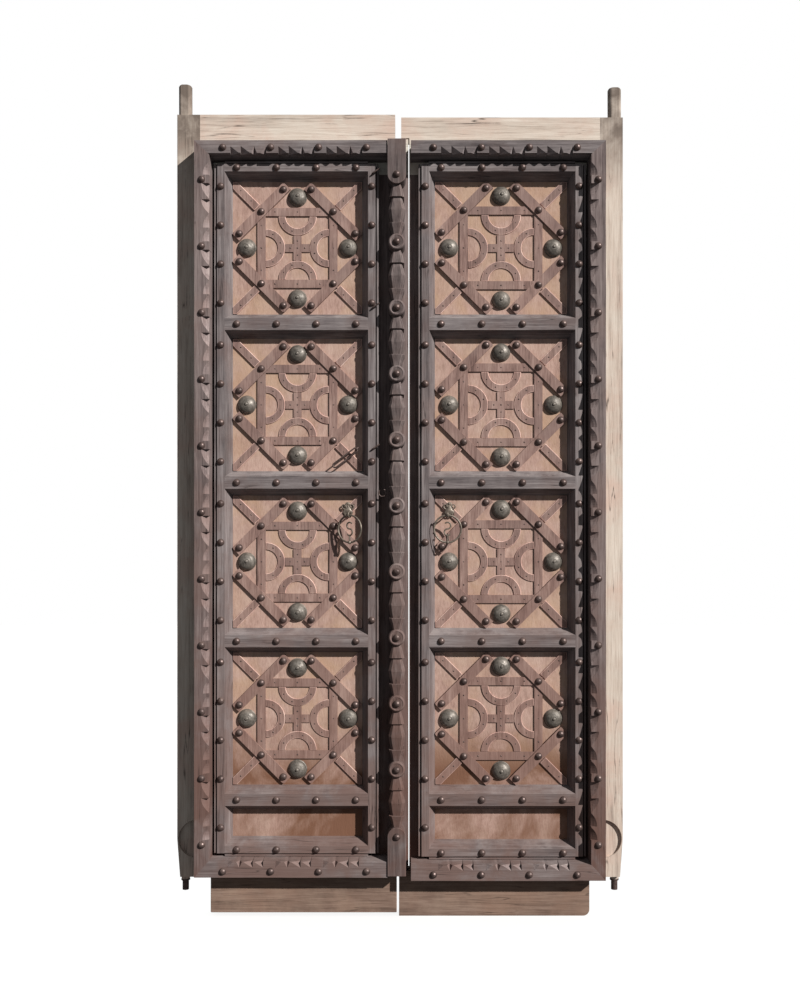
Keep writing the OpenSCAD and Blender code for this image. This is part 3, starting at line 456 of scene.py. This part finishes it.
TAB = dict(dark=(0.090, 0.058, 0.044), mid=(0.180, 0.116, 0.088), light=(0.29, 0.205, 0.162),
           patch=(0.25, 0.155, 0.112), dust=(0.37, 0.275, 0.210), dust_amount=0.9, cracks=0.6)
POST_HEAD = ((0.155, 0.122, 0.100), 1.97, 1.80, 1.0)
MARGIN_FOOT = ((0.60, 0.60, 0.53), 1.922, 1.945, 0.8)

# Each pair's lighter edge copy is wear plus painted highlight along the edges; the lattice's is lightest.
upright_wood = wood_pair("upright carved wood", "z", **MAUVE)
level_wood = wood_pair("level carved wood", "x", **MAUVE)
grey_upright = wood_pair("grey upright wood", "z", 1.6, **GREY)
grey_level = wood_pair("grey level wood", "x", 1.6, **GREY)
strip_wood = wood_pair("cover strip wood", "z", 1.6, **deeper(MAUVE, 0.72))
pale_upright = wood_pair("bleached upright wood", "z", 1.2, stain=POST_HEAD, **PALE)
pale_level = wood_pair("bleached level wood", "x", 1.2, stain=MARGIN_FOOT, **PALE)
strap_wood = wood_pair("lattice wood", "z", 2.8, **STRAP)
tab_wood = wood_pair("dusty tab wood", "x", 1.3, **TAB)
panel_wood = wood("painted panel wood", "z", **PANEL)
iron = forged_iron("brown forged iron", (0.034, 0.022, 0.020), (0.092, 0.062, 0.056), (0.19, 0.135, 0.122),
                   (0.30, 0.215, 0.185), 0.5, 0.42, 0.5)
patina = forged_iron("grey green patina", (0.058, 0.050, 0.042), (0.132, 0.117, 0.100),
                     (0.25, 0.222, 0.195), (0.31, 0.26, 0.215), 0.45, 0.50, 0.35)
pull_iron = forged_iron("worn pull iron", (0.060, 0.048, 0.038), (0.165, 0.135, 0.108), (0.31, 0.26, 0.21),
                        (0.32, 0.25, 0.20), 0.3, 0.45, 0.4)


# ---------------------------------------------------------------- repeated pieces, by geometry nodes

def repeat_tree():
    """Sets one small piece at every point, each turned and sized a little differently."""
    tree = bpy.data.node_groups.new("set in place", "GeometryNodeTree")
    for label, kind in (("Points", "NodeSocketGeometry"), ("Piece", "NodeSocketObject"),
                        ("Smallest", "NodeSocketFloat"), ("Largest", "NodeSocketFloat"),
                        ("Tilt", "NodeSocketFloat"), ("Seed", "NodeSocketInt"),
                        ("Finish", "NodeSocketMaterial")):
        tree.interface.new_socket(label, in_out="INPUT", socket_type=kind)
    tree.interface.new_socket("Pieces", in_out="OUTPUT", socket_type="NodeSocketGeometry")
    given = tree.nodes.new("NodeGroupInput")
    out = tree.nodes.new("NodeGroupOutput")
    link = tree.links.new
    source = add(tree, "GeometryNodeObjectInfo", transform_space="ORIGINAL")
    link(given.outputs["Piece"], source.inputs["Object"])
    size = add(tree, "FunctionNodeRandomValue", data_type="FLOAT")
    link(given.outputs["Smallest"], size.inputs[2])
    link(given.outputs["Largest"], size.inputs[3])
    link(given.outputs["Seed"], size.inputs["Seed"])
    lowest = add(tree, "ShaderNodeMath", {1: -1.0}, operation="MULTIPLY")
    link(given.outputs["Tilt"], lowest.inputs[0])
    turn = add(tree, "FunctionNodeRandomValue", data_type="FLOAT_VECTOR")
    link(lowest.outputs[0], turn.inputs[0])
    link(given.outputs["Tilt"], turn.inputs[1])
    link(given.outputs["Seed"], turn.inputs["Seed"])
    place = add(tree, "GeometryNodeInstanceOnPoints")
    link(given.outputs["Points"], place.inputs["Points"])
    link(source.outputs["Geometry"], place.inputs["Instance"])
    link(turn.outputs[0], place.inputs["Rotation"])
    link(size.outputs[1], place.inputs["Scale"])
    solid = add(tree, "GeometryNodeRealizeInstances")
    link(place.outputs[0], solid.inputs[0])
    finish = add(tree, "GeometryNodeSetMaterial")
    link(solid.outputs[0], finish.inputs["Geometry"])
    link(given.outputs["Finish"], finish.inputs["Material"])
    link(finish.outputs[0], out.inputs[0])
    return tree


REPEAT = repeat_tree()


def set_in_place(name, points, small, material, body, slot, *nodes, smallest=1.0, largest=1.0,
                 tilt=0.0, seed=7):
    """Turns a list of places and one small mesh into a single plain mesh that rides on a body."""
    dots = bpy.data.meshes.new(name + " places")
    dots.from_pydata([tuple(p) for p in points], [], [])
    holder = bpy.data.objects.new(name + " places", dots)
    source = bpy.data.objects.new(name + " piece", small)
    for each in (holder, source):
        bpy.context.scene.collection.objects.link(each)
    step = holder.modifiers.new("set", "NODES")
    step.node_group = REPEAT
    values = {"Piece": source, "Smallest": smallest, "Largest": largest, "Tilt": tilt, "Seed": seed,
              "Finish": material}
    for item in REPEAT.interface.items_tree:
        if item.in_out == "INPUT" and item.name in values:
            step[item.identifier] = values[item.name]
    evaluated = holder.evaluated_get(bpy.context.evaluated_depsgraph_get())
    data = bpy.data.meshes.new_from_object(evaluated)
    data.name = name
    for each in (holder, source):
        bpy.data.objects.remove(each)
    made = bpy.data.objects.new(name, data)
    bpy.context.scene.collection.objects.link(made)
    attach(made, body)
    if nodes:
        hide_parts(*nodes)
    return made


def turned(name, outline, turns):
    """A small turned mesh at the origin, facing forwards, shaded smooth."""
    mesh = bmesh.new()
    lathe(mesh, Vector((0, 0, 0)), outline, turns)
    clean(mesh)
    bmesh.ops.recalc_face_normals(mesh, faces=mesh.faces)
    data = bpy.data.meshes.new(name)
    mesh.to_mesh(data)
    mesh.free()
    data.shade_smooth()
    return data


def dome(radius, height, steps, foot=0.0):
    """Outline of a dome, from its foot to its top."""
    side = [(radius * math.cos(a), foot + height * math.sin(a))
            for a in (math.pi / 2 * k / steps for k in range(steps))]
    return side + [(0.4 * radius, foot + height)]


# ---------------------------------------------------------------- carved mouldings

def stepped_edge(length, notches, plain, steps=5):
    """(along, width left flat) down a carved edge. A notch is (start, end, depth, kind, curve):

    "drop" steps in at its start and runs out to its end, "climb" is the same turned about,
    and "vee" is cut evenly from both sides. A run bends by the notch's own curve.
    """
    line = [(0.0, plain)]
    for start, end, depth, kind, curve in notches:
        run = end - start
        shares = [k / steps for k in range(steps + 1)]
        out = [(start + run * t, plain - depth * (1 - t ** curve)) for t in shares]
        back = [(start + run * (1 - t), plain - depth * (1 - t ** curve))
                for t in reversed(shares)]
        if kind == "drop":
            line += [(start, plain)] + out
        elif kind == "climb":
            line += back + [(end, plain)]
        else:
            line += [(start, plain), ((start + end) / 2, plain - depth), (end, plain)]
    return line + [(length, plain)]


def carved_moulding(name, node, finishes, start, along, across, edge, width, rise, lip, chip, mitre):
    """A moulding whose inner edge is chip carved, with a painted highlight: the cut face in each chip
    takes the lighter material.

    chip is (depth at the deepest cut, width of the deepest cut), and mitre gives how far each
    end runs in across the width.
    """
    mesh = bmesh.new()
    length = edge[-1][0]
    plain = edge[0][1]
    rings = []
    for u, flat in edge:
        ring = []
        sink = chip[0] * (plain - flat) / chip[1]
        for v, w in ((0, 0), (0, rise), (flat, rise), (plain + 0.4 * MM, rise - sink - 0.4 * MM),
                     (width, lip), (width, 0)):
            held = min(max(u, mitre[0] * v / width), length - mitre[1] * v / width)
            point = start + along * held + across * v + FRONT_AXIS * w
            ring.append(wobble(point) if w > 0 else point)
        rings.append(ring)
    loft(mesh, rings)
    mesh.normal_update()
    for face in mesh.faces:
        middle_v = (face.calc_center_median() - start).dot(across)
        lean = abs(face.normal.dot(FRONT_AXIS))
        # the chips' cut faces take the lighter material, a painted highlight on the lit facets
        if middle_v > plain - chip[1] and 0.3 < lean < 0.985 and middle_v < plain + 0.2 * MM:
            face.material_index = 1
    clean(mesh)
    made = piece(name, mesh, finishes, frame["nodes"][node]["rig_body"], "carved_wood", node)
    return bevel(made, 0.0008, 2, 25)


def notches_between(places, pattern, depth):
    """The same few notches after each stud, as shares of the distance to the next one."""
    found = []
    for low, high in zip(places, places[1:]):
        run = high - low
        found += [(low + a * run, low + b * run, depth * share, kind, curve)
                  for a, b, share, kind, curve in pattern]
    return found


def turned_about(pattern):
    """A pattern of notches read from its other end."""
    other = {"drop": "climb", "climb": "drop", "vee": "vee"}
    return [(1 - b, 1 - a, share, other[kind], curve)
            for a, b, share, kind, curve in reversed(pattern)]


# Notches from one stud to the next, in the order that they are met going round the leaf.
SIDE_CHIPS = ((0.055, 0.285, 1.0, "drop", 2.0), (0.300, 0.510, 1.0, "drop", 2.0),
              (0.525, 0.725, 0.75, "climb", 2.4), (0.740, 0.930, 0.8, "climb", 2.4))
ROW_CHIPS = ((0.160, 0.340, 0.95, "drop", 1.0), (0.375, 0.570, 1.0, "drop", 1.0),
             (0.600, 0.715, 1.0, "vee", 1.0), (0.790, 0.910, 1.0, "climb", 1.0))


def carve_mouldings(side):
    out = -1 if side == "left" else 1
    low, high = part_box(side + "_side_moulding")
    width = high.x - low.x
    rise = BOARD_FRONT - low.y
    studs = [middle(box) for box in solids(side + "_moulding_studs")]
    outer_x = low.x if out < 0 else high.x
    heights = sorted(p.z - low.z for p in studs
                     if abs(p.x - outer_x) < width / 2
                     and low.z + PLAIN_SIDE_END < p.z < high.z - PLAIN_SIDE_END)
    step = heights[1] - heights[0]
    places = [heights[0] - step] + heights + [heights[-1] + step]
    span = high.z - low.z
    chips = [n for n in notches_between(places, turned_about(SIDE_CHIPS), SIDE_CUT)
             if n[0] > PLAIN_SIDE_END and n[1] < span - PLAIN_SIDE_END]
    rows = {}
    for kind in ("top", "bottom"):
        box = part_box(side + "_" + kind + "_moulding")
        rows[kind] = box[1].z - box[0].z
    carved_moulding(
        side + "_side_carving", side + "_side_moulding", upright_wood,
        Vector((outer_x, BOARD_FRONT, low.z)), Vector((0, 0, 1)), Vector((-out, 0, 0)),
        stepped_edge(span, chips, width - 2.5 * MM), width, rise, MOULDING_LIP,
        (SIDE_CHIP_DEPTH, SIDE_CUT), (rows["bottom"], rows["top"]))

    # The rows across the top and the foot are cut the same way on both leaves, so they run along +X.
    for kind, pattern, up in (("top", ROW_CHIPS, -1), ("bottom", turned_about(ROW_CHIPS), 1)):
        cut = ROW_CUTS[kind]
        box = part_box(side + "_" + kind + "_moulding")
        level = box[1].z if up < 0 else box[0].z
        span = box[1].x - box[0].x
        places = sorted(p.x - box[0].x for p in studs
                        if abs(p.z - level) < rows[kind]
                        and box[0].x + PLAIN_ROW_END < p.x < box[1].x - PLAIN_ROW_END)
        carved_moulding(
            side + "_" + kind + "_carving", side + "_" + kind + "_moulding",
            grey_level,
            Vector((box[0].x, BOARD_FRONT, level)), Vector((1, 0, 0)), Vector((0, 0, up)),
            stepped_edge(span, notches_between(places, pattern, cut), rows[kind] - 5 * MM),
            rows[kind], rise, MOULDING_LIP, (ROW_CHIP_DEPTH, cut),
            (width, 0) if out < 0 else (0, width))


# ---------------------------------------------------------------- cover strip

def strip_section(centre, z, half, rise, chamfer):
    """One level outline of the cover strip, with its two front corners cut off."""
    cut = chamfer * half
    corners = ((-half, 0), (-half, rise - cut), (-half + cut, rise),
               (half - cut, rise), (half, rise - cut), (half, 0))
    return [wobble(Vector((centre + x, BOARD_FRONT - y, z)), 0.5 * MM, 40 * MM) for x, y in corners]


def carve_cover_strip():
    low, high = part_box("cover_strip")
    centre = (low.x + high.x) / 2
    half = (high.x - low.x) / 2
    rise = BOARD_FRONT - low.y
    carved = rise - 3 * MM
    studs = sorted(middle(box).z for box in solids("cover_strip_studs"))
    disc = 20.5 * MM
    mesh = bmesh.new()

    def lobe(levels):
        loft(mesh, [strip_section(centre, z, a, h, 0.36) for z, a, h in levels])

    # Plain rounded tabs at both ends.
    for end_z, stud_z, way in ((low.z, studs[0], 1), (high.z, studs[-1], -1)):
        outline = [Vector((centre - half, 0, end_z)), Vector((centre + half, 0, end_z))]
        outline += [Vector((centre + half * math.cos(a), 0, stud_z + way * half * math.sin(a)))
                    for a in (math.pi * k / 14 for k in range(15))]
        rings = [[Vector((p.x, BOARD_FRONT - y, p.z)) for p in outline] for y in (0, rise)]
        loft(mesh, rings)

    # Medallions, each with a raised rim.
    for z in studs[1:-1]:
        lathe(mesh, Vector((centre, BOARD_FRONT, z)), [
            (disc, 0), (disc, rise - 4 * MM), (disc - 2.5 * MM, rise - 0.5 * MM),
            (disc - 5 * MM, rise), (disc - 6.5 * MM, rise - 1.2 * MM),
            (disc - 9 * MM, rise - 1.2 * MM), (0.5 * MM, rise - 0.8 * MM)], 40)

    # Two bells above two cups between neighbouring medallions.
    stops = [studs[0] + half] + studs[1:-1] + [studs[-1] - half]
    for k, (under, above) in enumerate(zip(stops, stops[1:])):
        foot = under + (disc if k else 0) - 2 * MM
        head = above - (disc if k < len(stops) - 2 else 0) + 2 * MM
        tall = head - foot
        wide, neck = 20.5 * MM, 10.5 * MM

        def at(share):
            return foot + share * tall

        lobe([(at(0.0), neck, carved - 5 * MM), (at(0.12), neck + 3.5 * MM, carved - 3 * MM),
              (at(0.235), wide - 1 * MM, carved)])
        lobe([(at(0.225), 13.5 * MM, carved - 6 * MM), (at(0.36), 17.5 * MM, carved - 2.5 * MM),
              (at(0.49), wide, carved)])
        lobe([(at(0.49), wide + 0.5 * MM, carved), (at(0.66), 15 * MM, carved - 3 * MM),
              (at(0.75), neck + 1 * MM, carved - 6 * MM)])
        lobe([(at(0.74), wide - 2 * MM, carved - 0.5 * MM), (at(0.88), 14.5 * MM, carved - 3 * MM),
              (at(1.0), neck - 1 * MM, carved - 6 * MM)])
    made = piece("cover_strip_carving", mesh, strip_wood, "left_leaf", "carved_wood", "cover_strip")
    bevel(made, 0.0009, 2, 25)


# ---------------------------------------------------------------- frame and lattice

def soften(node, finishes, width):
    """Stands a copy with worn edges in for a plain CAD piece; its rounded edges take the lighter material,
    wear and painted highlight.
    """
    mesh = welded(node)
    bmesh.ops.dissolve_limit(mesh, angle_limit=math.radians(0.6), verts=mesh.verts, edges=mesh.edges)
    low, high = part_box(node)
    for vert in mesh.verts:
        moved = wobble(vert.co, 0.0004)
        vert.co = Vector(min(max(moved[k], low[k]), high[k]) for k in range(3))
    body = frame["nodes"][node]["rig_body"]
    data = bpy.data.meshes.new(node + "_worn")
    mesh.to_mesh(data)
    mesh.free()
    for finish in finishes:
        data.materials.append(finish)
    made = bpy.data.objects.new(node + "_worn", data)
    bpy.context.scene.collection.objects.link(made)
    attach(made, body)
    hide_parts(node)
    return bevel(made, width, 2, 35)


def paint(node, material):
    """Gives a CAD node its finish."""
    data = frame["nodes"][node].data
    data.materials.clear()
    data.materials.append(material)


def nail_places(side):
    """Where the small nails of the lattice sit, on the face of each strap."""
    places = []
    cells = [middle(box) for box in solids(side + "_square_frames")]
    for low, high in solids(side + "_square_frames"):
        face = low.y
        strap = 10 * MM
        for a in (0.22, 0.5, 0.78):
            x = low.x + a * (high.x - low.x)
            z = low.z + a * (high.z - low.z)
            places += [(x, face, low.z + strap), (x, face, high.z - strap),
                       (low.x + strap, face, z), (high.x - strap, face, z)]
    for low, high in solids(side + "_half_rings"):
        spot = (low + high) / 2
        cell = min(cells, key=lambda c: (c - spot).length)
        out = Vector((spot.x - cell.x, 0, spot.z - cell.z))
        level = abs(out.x) > abs(out.z)
        radius = max(high.x - low.x, high.z - low.z) / 2
        way = math.copysign(1, out.x if level else out.z)
        root = Vector(((high.x if way > 0 else low.x) if level else spot.x, low.y,
                       spot.z if level else (high.z if way > 0 else low.z)))
        for a in (-62, -20, 20, 62):
            run = radius - 9 * MM
            inward = run * math.cos(math.radians(a))
            aside = run * math.sin(math.radians(a))
            step = (-way * inward, 0, aside) if level else (aside, 0, -way * inward)
            places.append(root + Vector(step))
    for low, high in solids(side + "_corner_straps"):
        spot = (low + high) / 2
        cell = min(cells, key=lambda c: (c - spot).length)
        out = Vector((math.copysign(1, spot.x - cell.x), 0, math.copysign(1, spot.z - cell.z)))
        places += [Vector((spot.x, low.y, spot.z)) + out * a for a in (-12 * MM, 14 * MM)]
    for cell in cells:
        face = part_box(side + "_crosses")[0].y
        places += [Vector((cell.x + x, face, cell.z + z)) for x, z in
                   ((0, 0), (0.018, 0), (-0.018, 0), (0, 0.018), (0, -0.018))]
    return places


def fit_out(side):
    """Everything on one leaf apart from its carving and its pull."""
    soften(side + "_pivot_post", pale_upright, 0.002)
    soften(side + "_top_board", pale_level, 0.0018)
    soften(side + "_hanging_stile", upright_wood, 0.001)
    soften(side + "_meeting_stile", upright_wood, 0.001)
    soften(side + "_bottom_board", level_wood, 0.0012)
    soften(side + "_foot_tab", tab_wood, 0.002)
    soften(side + "_rails", grey_level, 0.0016)
    soften(side + "_end_battens", grey_level, 0.0014)
    soften(side + "_stile_battens", grey_upright, 0.0014)
    paint(side + "_panels", panel_wood)
    for node in ("square_frames", "diamond_straps", "corner_straps", "half_rings", "crosses"):
        soften(side + "_" + node, strap_wood, 0.0015)
    for node in ("moulding_studs", "batten_studs", "rail_studs", "panel_studs"):
        paint(side + "_" + node, iron)
    nail = turned("nail head", dome(1.9 * MM, 0.9 * MM, 3), 8)
    set_in_place(side + "_nails", nail_places(side), nail, iron, side + "_leaf", "iron",
                 smallest=0.8, largest=1.15, tilt=0.06, seed=11)
    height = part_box(side + "_bosses")[0].y
    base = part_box(side + "_panels")[0].y
    tall = base - height
    outline = [(24 * MM, 0), (24 * MM, 1.6 * MM)] + dome(22.5 * MM, tall - 4 * MM, 9, 1.6 * MM)[:-2]
    outline += [(6.2 * MM, tall - 2.4 * MM), (5.2 * MM, tall - 3.2 * MM), (4.4 * MM, tall - 2.8 * MM),
                (3.6 * MM, tall - 0.8 * MM), (1.8 * MM, tall - 0.1 * MM), (0.3 * MM, tall)]
    places = [Vector((middle(box).x, base, middle(box).z)) for box in solids(side + "_bosses")]
    set_in_place(side + "_domed_bosses", places, turned("boss", outline, 36), patina, side + "_leaf",
                 "patina_iron", side + "_bosses", smallest=0.95, largest=1.0, tilt=0.05, seed=3)


# ---------------------------------------------------------------- ring pulls and latch iron

def curl(start, heading, length, tightness, steps=16):
    """Points of a scroll that starts straight and winds in."""
    path = [start]
    angle = heading
    for k in range(steps):
        angle += tightness * (0.35 + 1.5 * k / steps) / steps
        path.append(path[-1] + Vector((math.cos(angle), 0, math.sin(angle))) * length / steps)
    return path


def pull_plate(side):
    low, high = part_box(side + "_ring_plate")
    centre = Vector(((low.x + high.x) / 2, low.y, (low.z + high.z) / 2))
    thick = high.y - low.y
    mesh = bmesh.new()
    outline = []
    for k in range(40):
        a = 2 * math.pi * k / 40
        r = 0.0115 + 0.0022 * math.cos(3 * a + math.pi / 2)
        outline.append(Vector((r * math.cos(a), 0, r * math.sin(a) - 0.003)))
    loft(mesh, [[centre + p * s + Vector((0, y, 0)) for p in outline]
                for s, y in ((1, thick), (1, 0.0008), (0.82, -0.0002), (0.4, -0.0016))])
    for way in (-1, 1):
        for start, heading, length, tight in (
                ((0.004, 0.006), 62, 0.030, 5.6), ((0.008, 0.001), 12, 0.028, 5.8),
                ((0.006, -0.008), -58, 0.022, -5.2)):
            path = curl(Vector((0, 0, 0)), math.radians(heading), length, tight)
            path = [centre + Vector((way * (start[0] + p.x), 0.0012, start[1] + p.z)) for p in path]
            wire(mesh, path, [0.0019 - 0.0007 * k / len(path) for k in range(len(path))])
    path = [centre + Vector((0, 0.0010, 0.006 + 0.013 * k / 5)) for k in range(6)]
    wire(mesh, path, [0.0024, 0.0022, 0.0016, 0.0022, 0.0028, 0.0010])
    made = piece(side + "_pull_plate", mesh, [pull_iron], side + "_leaf", "patina_iron",
                 side + "_ring_plate")
    made.data.shade_smooth()
    paint(side + "_ring_eye", pull_iron)
    paint(side + "_ring", pull_iron)


# ---------------------------------------------------------------- making

for side in LEAVES:
    carve_mouldings(side)
    fit_out(side)
    pull_plate(side)
    paint("lower_pivot_pin_" + side, iron)
carve_cover_strip()
for node in ("cover_strip_studs", "latch_staples", "open_hook", "link_staple", "long_link"):
    paint(node, iron)


# ---------------------------------------------------------------- stage, light and camera

def pale_floor():
    mesh = bmesh.new()
    bmesh.ops.create_grid(mesh, x_segments=1, y_segments=1, size=9)
    data = bpy.data.meshes.new("floor")
    mesh.to_mesh(data)
    mesh.free()
    finish, tree, shader = new_material("pale floor")
    shader.inputs["Base Color"].default_value = (0.88, 0.88, 0.87, 1)
    shader.inputs["Roughness"].default_value = 0.9
    dim = add(tree, "ShaderNodeBsdfDiffuse", {"Color": (0.10, 0.10, 0.10, 1)})
    seen = add(tree, "ShaderNodeLightPath")
    both = add(tree, "ShaderNodeMixShader")
    tree.links.new(seen.outputs["Is Camera Ray"], both.inputs[0])
    tree.links.new(dim.outputs[0], both.inputs[1])
    tree.links.new(shader.outputs[0], both.inputs[2])
    tree.links.new(both.outputs[0], tree.nodes["Material Output"].inputs["Surface"])
    data.materials.append(finish)
    floor = bpy.data.objects.new("floor", data)
    bpy.context.scene.collection.objects.link(floor)
    return floor


def add_lamp(name, energy, angle, direction, colour=(1, 1, 1)):
    sun = bpy.data.lights.new(name, "SUN")
    sun.energy = energy
    sun.angle = math.radians(angle)
    sun.color = colour
    lamp = bpy.data.objects.new(name, sun)
    lamp.rotation_mode = "QUATERNION"
    lamp.rotation_quaternion = Vector(direction).to_track_quat("-Z", "Y")
    bpy.context.scene.collection.objects.link(lamp)
    return lamp


def shine_on(lamp, floor, state):
    """Keeps a lamp to the floor, or off it."""
    lit = bpy.data.collections.new(lamp.name + " lights")
    lit.objects.link(floor)
    lit.collection_objects[0].light_linking.link_state = state
    lamp.light_linking.receiver_collection = lit


def light_scene(floor):
    key = add_lamp("key", 5.6, 1.2, SUN_HEADING, (1.0, 0.975, 0.94))
    shine_on(key, floor, "EXCLUDE")
    wash = add_lamp("floor wash", 3.2, 20, (0, 0, -1))
    wash.data.use_shadow = False
    shine_on(wash, floor, "INCLUDE")
    world = bpy.data.worlds.new("studio")
    world.use_nodes = True
    tree = world.node_tree
    sky = tree.nodes["Background"]
    sky.inputs["Color"].default_value = (0.90, 0.94, 1.0, 1)
    sky.inputs["Strength"].default_value = 0.22
    backdrop = add(tree, "ShaderNodeBackground", {"Color": (1, 1, 1, 1), "Strength": 1.0})
    seen = add(tree, "ShaderNodeLightPath")
    both = add(tree, "ShaderNodeMixShader")
    tree.links.new(seen.outputs["Is Camera Ray"], both.inputs[0])
    tree.links.new(sky.outputs[0], both.inputs[1])
    tree.links.new(backdrop.outputs[0], both.inputs[2])
    tree.links.new(both.outputs[0], tree.nodes["World Output"].inputs["Surface"])
    bpy.context.scene.world = world


def place_camera():
    data = bpy.data.cameras.new("camera")
    data.sensor_fit = "AUTO"
    data.sensor_width = 36
    data.lens = 36
    data.shift_y = 0.045
    camera = bpy.data.objects.new("camera", data)
    camera.location = (0, BOARD_FRONT - EYE_DISTANCE, EYE_HEIGHT)
    camera.rotation_euler = (math.pi / 2, 0, 0)
    bpy.context.scene.collection.objects.link(camera)
    bpy.context.scene.camera = camera


light_scene(pale_floor())
place_camera()
bpy.context.scene.view_settings.view_transform = "Standard"
